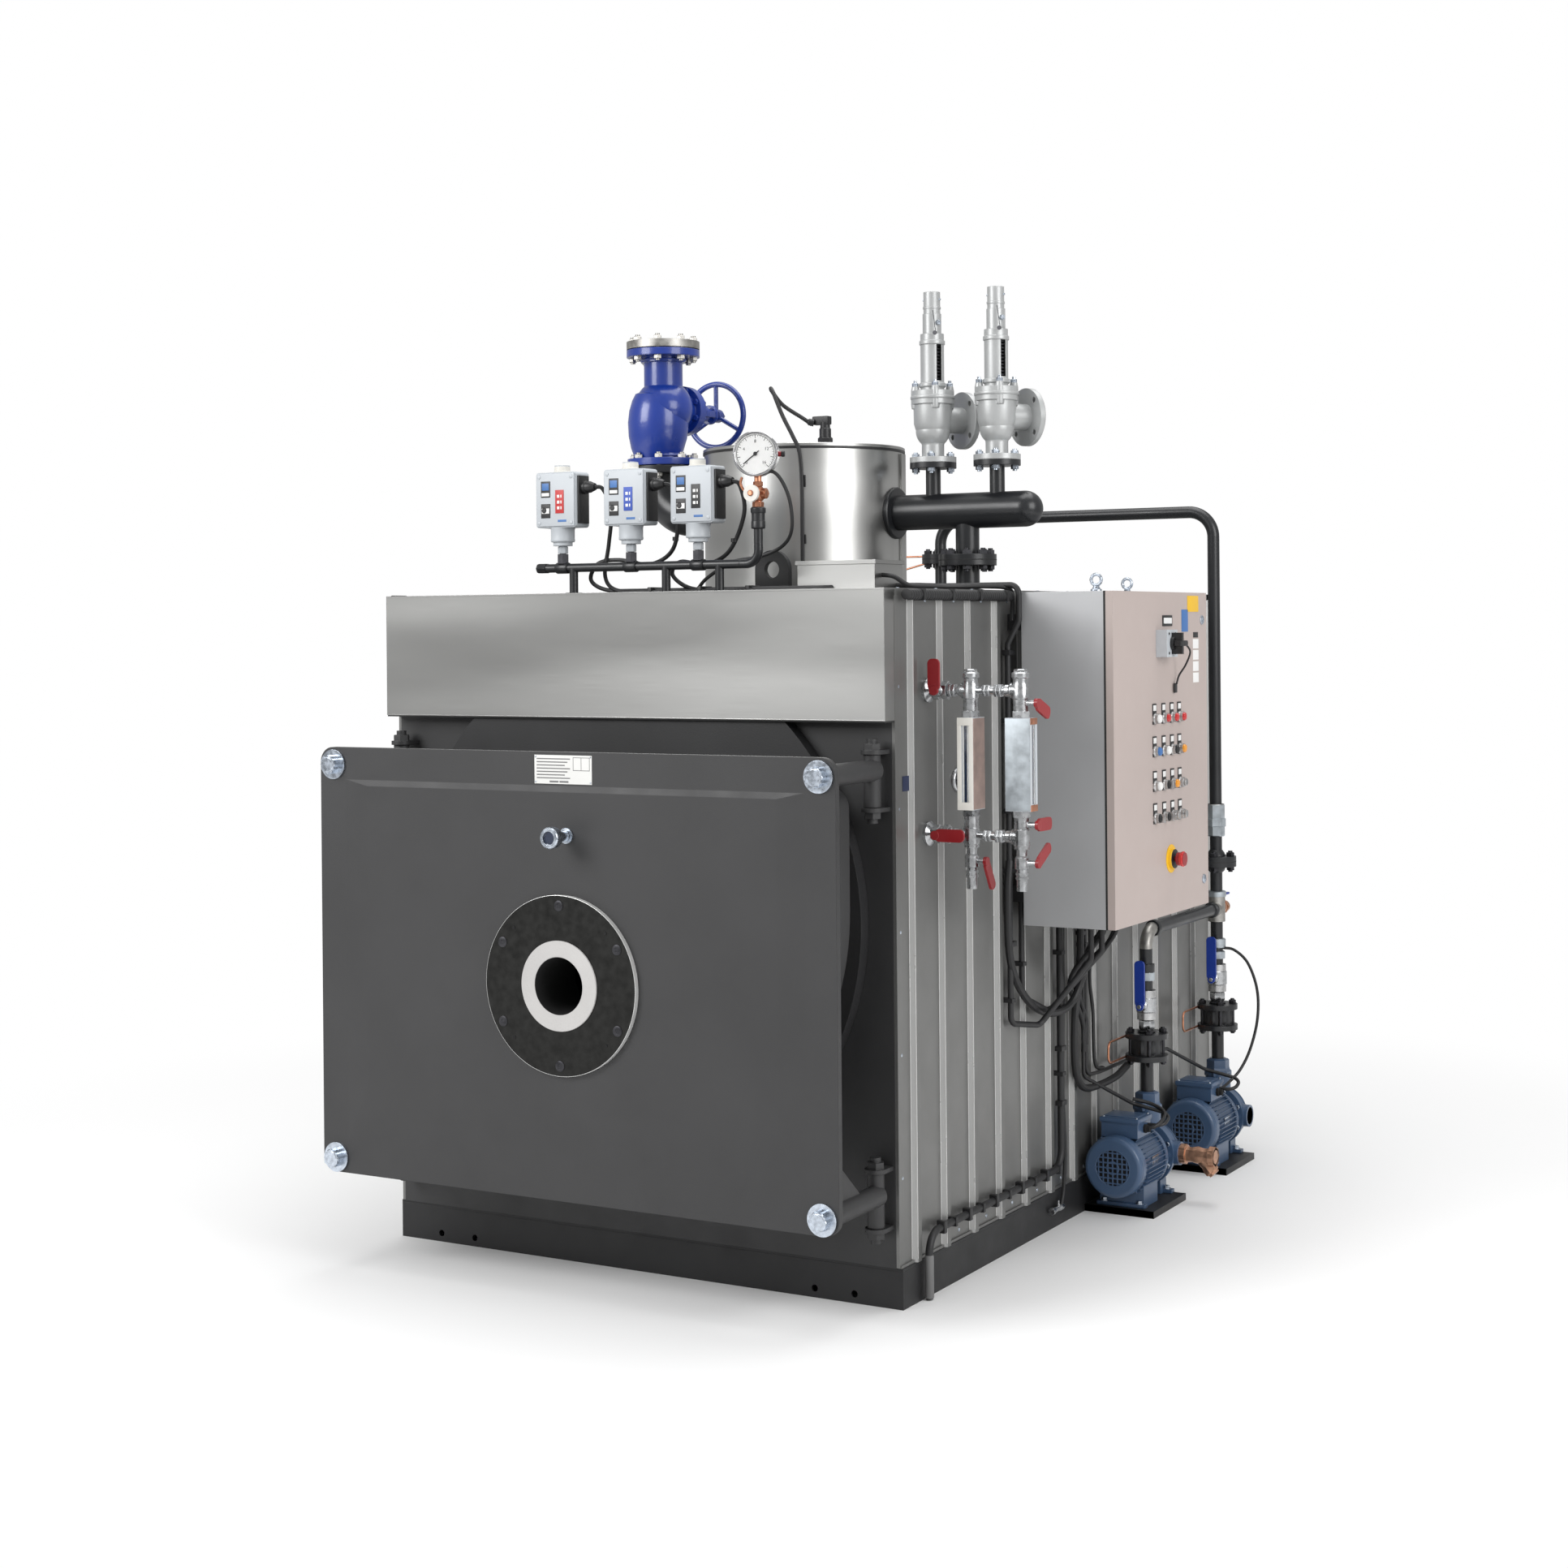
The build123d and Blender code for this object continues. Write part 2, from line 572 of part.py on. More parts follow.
def base_frame():
    """Channel frame with its end plates and cross beams."""
    beams = [channel(-1), channel(1), end_plate(0, 1), end_plate(BASE_LENGTH, -1)]
    half = BASE_WIDTH / 2 - BEAM_DEPTH
    for y in (SADDLE_PLACES[0], BASE_LENGTH / 2, SADDLE_PLACES[1]):
        beams.append(block((-half, half), around(y, CROSS_BEAM_WIDTH), (0, BASE_HEIGHT - DECK_THICKNESS)))
    return beams


def base_deck():
    """Deck plate on the frame, with the two saddles that carry the vessel."""
    deck = block((-BASE_WIDTH / 2, BASE_WIDTH / 2), (0, BASE_LENGTH), (BASE_HEIGHT - DECK_THICKNESS, BASE_HEIGHT))
    solids = [deck]
    for y in SADDLE_PLACES:
        saddle = block((-SADDLE_WIDTH / 2, SADDLE_WIDTH / 2), around(y, SADDLE_THICKNESS),
                       (BASE_HEIGHT, VESSEL_AXIS_HEIGHT - VESSEL_RADIUS / 2))
        solids.append(saddle - vessel_cylinder(VESSEL_RADIUS, 0, VESSEL_BACK))
    return solids


def side_cladding(side):
    """Insulated side panel with pressed vertical ribs."""
    count = int((BASE_LENGTH - RIB_FIRST) / RIB_PITCH) + 1
    outer = CASING_HALF
    points = [(outer - PANEL_THICKNESS, 0), (outer, 0)]
    for number in range(count):
        middle = RIB_FIRST + number * RIB_PITCH
        end = min(middle + RIB_TOP_WIDTH / 2, BASE_LENGTH)
        points.append((outer, middle - RIB_BASE_WIDTH / 2))
        points.append((outer + RIB_HEIGHT, middle - RIB_TOP_WIDTH / 2))
        points.append((outer + RIB_HEIGHT, end))
        if middle + RIB_BASE_WIDTH / 2 < BASE_LENGTH:
            points.append((outer, middle + RIB_BASE_WIDTH / 2))
    if points[-1][1] < BASE_LENGTH:
        points.append((points[-1][0], BASE_LENGTH))
    points.append((outer - PANEL_THICKNESS, BASE_LENGTH))
    outline = [(side * x, y) for x, y in points]
    face = Plane.XY.offset(BASE_HEIGHT) * make_face(Polyline(*outline, close=True))
    return extrude(face, CASING_TOP - TOP_THICKNESS - BASE_HEIGHT, dir=(0, 0, 1))


def top_cladding():
    """Top sheet, open round the drum."""
    sheet = block((-CASING_HALF, CASING_HALF), (0, BASE_LENGTH), (CASING_TOP - TOP_THICKNESS, CASING_TOP))
    return sheet - rod((0, DRUM_Y, 0), (0, DRUM_Y, CASING_TOP), DRUM_RADIUS)


def rear_cladding():
    """Rear panel, open round the smoke box."""
    half = CASING_HALF - PANEL_THICKNESS
    panel = block((-half, half), (BASE_LENGTH - REAR_THICKNESS, BASE_LENGTH), (BASE_HEIGHT, CASING_TOP - TOP_THICKNESS))
    hole = block((-SMOKE_BOX_WIDTH / 2, SMOKE_BOX_WIDTH / 2), (0, BASE_LENGTH), (SMOKE_BOX_BOTTOM, SMOKE_BOX_TOP))
    return panel - hole


def front_panel():
    """Front sheet round the end of the vessel."""
    half = CASING_HALF - FRONT_PANEL_MARGIN
    sheet = block((-half, half), (-FRONT_PANEL_THICKNESS, 0), (BASE_HEIGHT, CASING_TOP))
    return sheet - vessel_cylinder(VESSEL_RADIUS, VESSEL_FRONT, 0)


def front_hood():
    """Stainless hood over the top of the vessel's front end."""
    back = -FRONT_PANEL_THICKNESS
    body = block((-CASING_HALF, CASING_HALF), (back - HOOD_DEPTH, back), (HOOD_BOTTOM, CASING_TOP))
    return body - vessel_cylinder(VESSEL_RADIUS, VESSEL_FRONT, 0)


def pressure_vessel():
    """Cylindrical vessel with its furnace bore."""
    front = VESSEL_FRONT + TUBE_PLATE_THICKNESS
    body = vessel_cylinder(VESSEL_RADIUS, front, VESSEL_BACK)
    return body - rod((0, front, FURNACE_HEIGHT), (0, FURNACE_END, FURNACE_HEIGHT), FURNACE_RADIUS)


def front_tube_plate():
    """End plate of the vessel, with the furnace mouth and the smoke tube mouths."""
    back = VESSEL_FRONT + TUBE_PLATE_THICKNESS
    plate = vessel_cylinder(VESSEL_RADIUS, VESSEL_FRONT, back)
    plate -= rod((0, VESSEL_FRONT, FURNACE_HEIGHT), (0, back, FURNACE_HEIGHT), FURNACE_RADIUS)
    for radius in TUBE_ROW_RADII:
        steps = int(math.radians(TUBE_ROW_SWEEP) * radius / TUBE_PITCH)
        for number in range(steps + 1):
            angle = math.radians(90 + TUBE_ROW_SWEEP * (number / steps - 0.5))
            x = radius * math.cos(angle)
            z = FURNACE_HEIGHT + radius * math.sin(angle)
            plate -= rod((x, VESSEL_FRONT, z), (x, back, z), SMOKE_TUBE_RADIUS)
    return plate


def smoke_box():
    """Rear smoke box with its flue collar."""
    body = block((-SMOKE_BOX_WIDTH / 2, SMOKE_BOX_WIDTH / 2), (VESSEL_BACK, SMOKE_BOX_BACK),
                 (SMOKE_BOX_BOTTOM, SMOKE_BOX_TOP))
    end = SMOKE_BOX_BACK + FLUE_LENGTH
    body += rod((0, SMOKE_BOX_BACK, FLUE_HEIGHT), (0, end, FLUE_HEIGHT), FLUE_RADIUS + FLUE_WALL)
    body += rod((0, end - FLUE_FLANGE_THICKNESS, FLUE_HEIGHT), (0, end, FLUE_HEIGHT), FLUE_FLANGE_RADIUS)
    return body - rod((0, SMOKE_BOX_BACK - FLUE_LENGTH, FLUE_HEIGHT), (0, end, FLUE_HEIGHT), FLUE_RADIUS)


def door_face(sides, bottom, top, y):
    """Rectangle inside the door's outline, in a plane parallel to the door."""
    low = DOOR_BOTTOM + bottom
    high = DOOR_TOP - top
    plane = Plane(origin=(0, y, (low + high) / 2), x_dir=(1, 0, 0), z_dir=(0, -1, 0))
    return plane * Rectangle(DOOR_WIDTH - 2 * sides, high - low)


def door_plate():
    """Door plate with its raised field, burner bore, sight hole and bolt holes."""
    middle = (DOOR_BOTTOM + DOOR_TOP) / 2
    plane = Plane(origin=(0, DOOR_FRONT, middle), x_dir=(1, 0, 0), z_dir=(0, -1, 0))
    outline = plane * RectangleRounded(DOOR_WIDTH, DOOR_TOP - DOOR_BOTTOM, DOOR_CORNER)
    plate = extrude(outline, DOOR_THICKNESS, dir=(0, 1, 0))
    field_y = DOOR_FRONT - FIELD_RISE
    plate += loft([door_face(*FIELD_FOOT, DOOR_FRONT), door_face(*FIELD_INSET, field_y)], ruled=True)
    plate -= rod((0, field_y, BURNER_HEIGHT), (0, DOOR_FRONT, BURNER_HEIGHT), BURNER_PLATE_RADIUS + PANEL_CLEARANCE)
    plate -= rod((0, field_y, BURNER_HEIGHT), (0, DOOR_BACK, BURNER_HEIGHT), BURNER_BORE_RADIUS)
    plate -= rod((SIGHT_X, field_y, SIGHT_HEIGHT), (SIGHT_X, DOOR_BACK, SIGHT_HEIGHT), SIGHT_RADIUS)
    for z in BOLT_HEIGHTS:
        for side in (-1, 1):
            plate -= rod((side * BOLT_X, DOOR_FRONT, z), (side * BOLT_X, DOOR_BACK, z), BOLT_SHANK_RADIUS)
    return plate


def lining_form(radius, top, front, back):
    """Round form on the vessel's axis with a flat top, as the door's lining has."""
    form = vessel_cylinder(radius, front, back)
    return form & block((-radius, radius), (front, back), (0, top))


def door_box():
    """Steel box behind the door plate that holds the lining, flat at the top and round at the bottom."""
    sides = (-DOOR_BOX_RADIUS, DOOR_BOX_RADIUS)
    depth = (DOOR_BACK, DOOR_BOX_BACK)
    upper = block(sides, depth, (DOOR_BOX_CENTRE, DOOR_BOX_TOP))
    upper = fillet(upper.edges().filter_by(Axis.Y).group_by(Axis.Z)[-1], DOOR_BOX_CORNER)
    lower = rod((0, DOOR_BACK, DOOR_BOX_CENTRE), (0, DOOR_BOX_BACK, DOOR_BOX_CENTRE), DOOR_BOX_RADIUS)
    lower &= block(sides, depth, (0, DOOR_BOX_CENTRE))
    return upper + lower - lining_form(LINING_RADIUS, LINING_TOP, *depth)


def door_lining():
    """Refractory lining with its turning chamber and burner throat."""
    body = lining_form(LINING_RADIUS, LINING_TOP, DOOR_BACK, LINING_BACK)
    body -= lining_form(LINING_RADIUS - LINING_RIM, LINING_TOP - LINING_RIM, CHAMBER_FLOOR, LINING_BACK)
    body -= rod((0, DOOR_BACK, BURNER_HEIGHT), (0, CHAMBER_FLOOR, BURNER_HEIGHT), BURNER_BORE_RADIUS)
    return body - rod((SIGHT_X, DOOR_BACK, SIGHT_HEIGHT), (SIGHT_X, CHAMBER_FLOOR, SIGHT_HEIGHT), SIGHT_RADIUS)


def door_seal():
    """Rope seal on the rim of the lining."""
    outer = LINING_RADIUS - SEAL_INSET
    top = LINING_TOP - SEAL_INSET
    ring = lining_form(outer, top, LINING_BACK, VESSEL_FRONT)
    return ring - lining_form(outer - SEAL_WIDTH, top - SEAL_WIDTH, LINING_BACK, VESSEL_FRONT)


def burner_plate():
    """Round burner plate with its cap bolts and threaded holes."""
    centre = (0, BURNER_FACE, BURNER_HEIGHT)
    plate = flange(centre, (0, 1, 0), BURNER_PLATE_RADIUS, BURNER_PLATE_THICKNESS, BURNER_BORE_RADIUS,
                   BURNER_HOLE_CIRCLE, BURNER_HOLES, BURNER_HOLE_RADIUS, 45)
    solids = [plate]
    for spot in pattern(centre, (0, -1, 0), BURNER_BOLT_CIRCLE / 2, BURNER_BOLTS, 30):
        solids.append(rod(spot, spot - Vector(0, BURNER_BOLT_HEIGHT, 0), BURNER_BOLT_HEAD))
    return solids


def burner_ring():
    """Refractory throat ring in the burner bore."""
    return tube((0, BURNER_FACE - RING_FRONT, BURNER_HEIGHT), (0, CHAMBER_FLOOR, BURNER_HEIGHT), BURNER_BORE_RADIUS,
                BURNER_BORE_RADIUS - RING_WIDTH)


def sight_glass():
    """Sight tube with its nut, through the door."""
    stem = rod((SIGHT_X, SIGHT_FRONT, SIGHT_HEIGHT), (SIGHT_X, DOOR_BACK, SIGHT_HEIGHT), SIGHT_RADIUS)
    return stem + rod((SIGHT_X, SIGHT_FRONT, SIGHT_HEIGHT), (SIGHT_X, SIGHT_FRONT + SIGHT_NUT_LENGTH, SIGHT_HEIGHT),
                      SIGHT_NUT_RADIUS)


def door_bolt(side, z, length):
    """Door bolt with its washer."""
    x = side * BOLT_X
    seat = DOOR_FRONT - WASHER_THICKNESS
    body = rod((x, seat, z), (x, DOOR_FRONT, z), WASHER_RADIUS)
    body += hexagon((x, seat, z), (0, -1, 0), BOLT_HEAD_FLATS, BOLT_HEAD_HEIGHT)
    return body + rod((x, DOOR_FRONT, z), (x, DOOR_FRONT + length, z), BOLT_SHANK_RADIUS)


def arm(side, z, lugs, front, bore):
    """Tube arm from the door plate to its sleeve on the hinge pin."""
    x = side * BOLT_X
    pin_x = side * HINGE_X
    low = lugs[0] + LUG_THICKNESS / 2 + LUG_GAP
    high = lugs[1] - LUG_THICKNESS / 2 - LUG_GAP
    body = rod((x, front, z), (x, HINGE_Y, z), ARM_RADIUS)
    body += rod((pin_x, HINGE_Y, low), (pin_x, HINGE_Y, high), SLEEVE_RADIUS)
    body -= block((x - ARM_RADIUS, x + ARM_RADIUS), (HINGE_Y + SLEEVE_RADIUS, HINGE_Y + 2 * ARM_RADIUS),
                  (z - ARM_RADIUS, z + ARM_RADIUS))
    body -= rod((pin_x, HINGE_Y, low), (pin_x, HINGE_Y, high), HINGE_PIN_RADIUS + PIN_CLEARANCE)
    return body - rod((x, front, z), (x, front + bore, z), ARM_RADIUS - ARM_WALL)


def door_hinge_arms():
    """Right-hand arms, which carry the door, with the gusset over the lower one."""
    solids = []
    for z, lugs in zip(BOLT_HEIGHTS, HINGE_LUGS):
        solids.append(arm(1, z, lugs, DOOR_BACK, SHORT_SHANK))
    foot = BOLT_HEIGHTS[0] + ARM_RADIUS
    root = foot - GUSSET_THICKNESS / 2
    corners = ((DOOR_BACK, root), (DOOR_BACK, foot + GUSSET_HEIGHT), (GUSSET_END, root))
    plane = Plane(origin=(BOLT_X - GUSSET_THICKNESS / 2, 0, 0), x_dir=(0, 1, 0), z_dir=(1, 0, 0))
    solids[0] = solids[0] + extrude(plane * make_face(Polyline(*corners, close=True)), GUSSET_THICKNESS)
    return solids


def latch_arms():
    """Left-hand arms, which stay on the boiler and take the closing bolts."""
    return [arm(-1, z, lugs, DOOR_BACK, SHORT_SHANK) for z, lugs in zip(BOLT_HEIGHTS, HINGE_LUGS)]


def hinge_lugs():
    """Lug plates on the front panel with their hinge pins and nuts, on both sides."""
    solids = []
    relief = vessel_cylinder(VESSEL_RADIUS + 2 * PANEL_CLEARANCE, VESSEL_FRONT, 0)
    for side in (-1, 1):
        x = side * HINGE_X
        for low, high in HINGE_LUGS:
            pin = rod((x, HINGE_Y, low - PIN_OVERHANG), (x, HINGE_Y, high + PIN_OVERHANG), HINGE_PIN_RADIUS)
            for z in (low, high):
                ends = around(z, LUG_THICKNESS)
                plate = block(around(x, LUG_WIDTH), (HINGE_Y, -FRONT_PANEL_THICKNESS), ends)
                plate += rod((x, HINGE_Y, ends[0]), (x, HINGE_Y, ends[1]), LUG_WIDTH / 2)
                pin += plate - relief
            pin += hexagon((x, HINGE_Y, high + LUG_THICKNESS / 2), (0, 0, 1), PIN_NUT_FLATS, PIN_NUT_HEIGHT)
            pin += hexagon((x, HINGE_Y, low - LUG_THICKNESS / 2), (0, 0, -1), PIN_NUT_FLATS, PIN_NUT_HEIGHT)
            solids.append(pin)
    return solids


def steam_drum():
    """Insulated steam drum that stands on the vessel."""
    body = rod((0, DRUM_Y, VESSEL_AXIS_HEIGHT), (0, DRUM_Y, DRUM_TOP), DRUM_RADIUS)
    return body - vessel_cylinder(VESSEL_RADIUS, 0, VESSEL_BACK)


def drum_lid():
    """Lid of the drum, with the level probe."""
    top = DRUM_TOP + LID_THICKNESS
    lid = rod((0, DRUM_Y, DRUM_TOP), (0, DRUM_Y, top), DRUM_RADIUS + LID_OVERHANG)
    seat = top + PROBE_BASE[1]
    probe = rod((PROBE_X, PROBE_Y, top), (PROBE_X, PROBE_Y, seat), PROBE_BASE[0])
    probe += rod((PROBE_X, PROBE_Y, seat), (PROBE_X, PROBE_Y, seat + PROBE_STEM[1]), PROBE_STEM[0])
    return [lid, probe]


def valve_flange(z):
    """Blank flange with the valve's bolt pattern, from its lower face upwards."""
    return flange((VALVE_X, DRUM_Y, z), (0, 0, 1), VALVE_FLANGE_RADIUS, VALVE_FLANGE_THICKNESS, 0, VALVE_BOLT_CIRCLE,
                  VALVE_BOLTS, VALVE_BOLT_HOLE, VALVE_BOLT_TURN)


def steam_elbow():
    """Steam pipe from the drum's side up to the stop valve."""
    end = VALVE_BOTTOM - GASKET - VALVE_FLANGE_THICKNESS
    points = [(-DRUM_RADIUS + STEAM_PIPE_RADIUS, DRUM_Y, STEAM_NOZZLE_HEIGHT), (VALVE_X, DRUM_Y, STEAM_NOZZLE_HEIGHT),
              (VALVE_X, DRUM_Y, end)]
    pieces = run(points, STEAM_PIPE_RADIUS, STEAM_PIPE_BEND)
    pieces[0] = pieces[0] - rod((0, DRUM_Y, CASING_TOP), (0, DRUM_Y, DRUM_TOP), DRUM_RADIUS)
    return pieces + [valve_flange(end)]


def steam_valve_body():
    """Straight globe valve: flanges, ball body, bonnet, yoke and stem."""
    body = valve_flange(VALVE_BOTTOM) + valve_flange(VALVE_TOP - VALVE_FLANGE_THICKNESS)
    low = VALVE_BOTTOM + VALVE_FLANGE_THICKNESS
    high = VALVE_TOP - VALVE_FLANGE_THICKNESS
    body += rod((VALVE_X, DRUM_Y, low), (VALVE_X, DRUM_Y, high), VALVE_NECK_RADIUS)
    body += rod((VALVE_X, DRUM_Y, low), (VALVE_X, DRUM_Y, low + VALVE_COLLAR_HEIGHT), VALVE_COLLAR_RADIUS)
    body += rod((VALVE_X, DRUM_Y, high - VALVE_COLLAR_HEIGHT), (VALVE_X, DRUM_Y, high), VALVE_COLLAR_RADIUS)
    body += Pos(VALVE_X, DRUM_Y, VALVE_MID) * Sphere(VALVE_BALL_RADIUS)
    steps = ((0, BONNET_FLANGE[0], BONNET_NECK_RADIUS), (*BONNET_FLANGE, BONNET_FLANGE_RADIUS),
             (BONNET_FLANGE[1], YOKE_END, YOKE_RADIUS), (YOKE_END, WHEEL_OFFSET + WHEEL_HUB_LENGTH, STEM_RADIUS))
    for start, end, radius in steps:
        body += rod((VALVE_X, DRUM_Y + start, VALVE_MID), (VALVE_X, DRUM_Y + end, VALVE_MID), radius)
    cone_plane = Plane(origin=(VALVE_X, DRUM_Y + (BONNET_FLANGE[1] + BONNET_CONE_END) / 2, VALVE_MID), z_dir=(0, 1, 0))
    return body + cone_plane * Cone(*BONNET_CONE_RADII, BONNET_CONE_END - BONNET_FLANGE[1])


def steam_outlet_flange():
    """Steel companion flange that the plant's steam main is welded to."""
    face = (VALVE_X, DRUM_Y, VALVE_TOP + GASKET)
    return flange(face, (0, 0, 1), VALVE_FLANGE_RADIUS, COMPANION_THICKNESS, VALVE_BORE_RADIUS,
                  VALVE_BOLT_CIRCLE, VALVE_BOLTS, VALVE_BOLT_HOLE, VALVE_BOLT_TURN)


def valve_gaskets():
    """Gaskets of the valve's two flange joints, inside the bolts."""
    outer = VALVE_BOLT_CIRCLE / 2 - VALVE_BOLT_HOLE - GASKET
    solids = []
    for z in (VALVE_BOTTOM - GASKET, VALVE_TOP):
        solids.append(tube((VALVE_X, DRUM_Y, z), (VALVE_X, DRUM_Y, z + GASKET), outer, VALVE_BORE_RADIUS + GASKET_MARGIN))
    return solids


def handwheel():
    """Handwheel with its spokes on the valve stem."""
    middle = DRUM_Y + WHEEL_OFFSET
    reach = WHEEL_RADIUS - WHEEL_RIM_RADIUS
    plane = Plane(origin=(VALVE_X, middle, VALVE_MID), x_dir=(1, 0, 0), z_dir=(0, 1, 0))
    wheel = plane * Torus(reach, WHEEL_RIM_RADIUS)
    ends = around(middle, WHEEL_HUB_LENGTH)
    wheel += rod((VALVE_X, ends[0], VALVE_MID), (VALVE_X, ends[1], VALVE_MID), WHEEL_HUB_RADIUS)
    for degrees in WHEEL_SPOKES:
        angle = math.radians(degrees)
        spot = (VALVE_X + reach * math.cos(angle), middle, VALVE_MID + reach * math.sin(angle))
        wheel += rod((VALVE_X, middle, VALVE_MID), spot, SPOKE_RADIUS)
    return wheel - rod((VALVE_X, ends[0], VALVE_MID), (VALVE_X, ends[1], VALVE_MID), STEM_RADIUS + PIN_CLEARANCE)


def switch_header():
    """Header pipe of the pressure switches, on posts, with the gauge riser."""
    bend_start = HEADER_RIGHT - 1.5 * HEADER_BEND
    left = rod((HEADER_LEFT, HEADER_Y, HEADER_Z), (bend_start, HEADER_Y, HEADER_Z), HEADER_RADIUS)
    bend = run([(bend_start, HEADER_Y, HEADER_Z), (HEADER_RIGHT, HEADER_Y, HEADER_Z),
                (HEADER_RIGHT, HEADER_Y, HEADER_RISE_TOP)], HEADER_RADIUS, HEADER_BEND)
    socket = rod((HEADER_RIGHT, HEADER_Y, HEADER_RISE_TOP), (HEADER_RIGHT, HEADER_Y, HEADER_RISE_TOP + HEADER_SOCKET),
                 HEADER_SOCKET_RADIUS)
    solids = [left] + bend + [socket]
    for x in HEADER_POSTS:
        post = rod((x, HEADER_Y, CASING_TOP), (x, HEADER_Y, HEADER_Z), HEADER_RADIUS)
        solids.append(post - rod((x - 2 * HEADER_RADIUS, HEADER_Y, HEADER_Z), (x + 2 * HEADER_RADIUS, HEADER_Y, HEADER_Z),
                                 HEADER_RADIUS))
    return solids


def switch_stem(x):
    """Bellows cup, union nut and stem of one pressure switch."""
    cup_bottom = SWITCH_BOTTOM - BELLOWS_HEIGHT
    body = rod((x, HEADER_Y, cup_bottom), (x, HEADER_Y, SWITCH_BOTTOM), BELLOWS_RADIUS)
    body += rod((x, HEADER_Y, cup_bottom - BELLOWS_RING[1]), (x, HEADER_Y, cup_bottom), BELLOWS_RING[0])
    body += rod((x, HEADER_Y, HEADER_Z), (x, HEADER_Y, cup_bottom), SWITCH_STEM_RADIUS)
    body += hexagon((x, HEADER_Y, HEADER_Z + HEADER_RADIUS), (0, 0, 1), *SWITCH_HEX)
    return body - rod((x - BELLOWS_RADIUS, HEADER_Y, HEADER_Z), (x + BELLOWS_RADIUS, HEADER_Y, HEADER_Z), HEADER_RADIUS)


def pressure_switches():
    """Pressure switches: housing with its cable gland and knob, and the bellows cup."""
    solids = []
    top = SWITCH_BOTTOM + SWITCH_HEIGHT
    gland_z = SWITCH_BOTTOM + SWITCH_GLAND_HEIGHT
    for x in SWITCH_X:
        side = x + SWITCH_WIDTH / 2
        housing = block(around(x, SWITCH_WIDTH), around(HEADER_Y, SWITCH_DEPTH), (SWITCH_BOTTOM, top))
        housing = fillet(housing.edges().filter_by(Axis.Y), SWITCH_CORNER)
        housing += rod((x, HEADER_Y, top), (x, HEADER_Y, top + SWITCH_KNOB[1]), SWITCH_KNOB[0])
        housing += rod((side, HEADER_Y, gland_z), (side + SWITCH_GLAND[1], HEADER_Y, gland_z), SWITCH_GLAND[0])
        solids.append(housing)
        solids.append(switch_stem(x))
    return solids


def pressure_gauge():
    """Dial gauge on its cock with a round handle."""
    turn = math.radians(GAUGE_TURN)
    way = Vector(math.sin(turn), -math.cos(turn), 0)
    centre = Vector(GAUGE_X, HEADER_Y, GAUGE_Z)
    body = rod(centre - way * (GAUGE_DEPTH / 2), centre + way * (GAUGE_DEPTH / 2), GAUGE_RADIUS)
    body += rod((HEADER_RIGHT, HEADER_Y, HEADER_RISE_TOP + HEADER_SOCKET),
                (HEADER_RIGHT, HEADER_Y, GAUGE_Z - GAUGE_RADIUS + GAUGE_STEM_RADIUS), GAUGE_STEM_RADIUS)
    cock = Vector(HEADER_RIGHT, HEADER_Y, GAUGE_COCK_Z)
    body += rod((HEADER_RIGHT - GAUGE_COCK[1], HEADER_Y, GAUGE_COCK_Z), (HEADER_RIGHT + GAUGE_COCK[1], HEADER_Y, GAUGE_COCK_Z),
                GAUGE_COCK[0])
    radius, reach, thickness = GAUGE_HANDLE
    body += rod(cock, cock + Vector(0, -reach, 0), GAUGE_STEM_RADIUS / 2)
    return body + rod(cock + Vector(0, -reach, 0), cock + Vector(0, thickness - reach, 0), radius)


def lifting_lugs():
    """Lifting eye plates on the vessel, through the top sheet."""
    solids = []
    eye_z = CASING_TOP + LUG_PLATE_HEIGHT - LUG_PLATE_WIDTH / 2
    for x, y in LUG_PLATES:
        front, back = around(y, LUG_PLATE_THICKNESS)
        plate = block(around(x, LUG_PLATE_WIDTH), (front, back), (CASING_TOP, eye_z))
        plate += rod((x, front, eye_z), (x, back, eye_z), LUG_PLATE_WIDTH / 2)
        solids.append(plate - rod((x, front, eye_z), (x, back, eye_z), LUG_EYE_RADIUS))
    return solids


def junction_box():
    """Cable junction box with its lid, on the top sheet."""
    wide, deep, high = JUNCTION_SIZE
    rim, lid = JUNCTION_LID
    seat = CASING_TOP + high - lid
    body = block(around(JUNCTION_X, wide), around(JUNCTION_Y, deep), (CASING_TOP, seat))
    return body + block(around(JUNCTION_X, wide + 2 * rim), around(JUNCTION_Y, deep + 2 * rim), (seat, CASING_TOP + high))


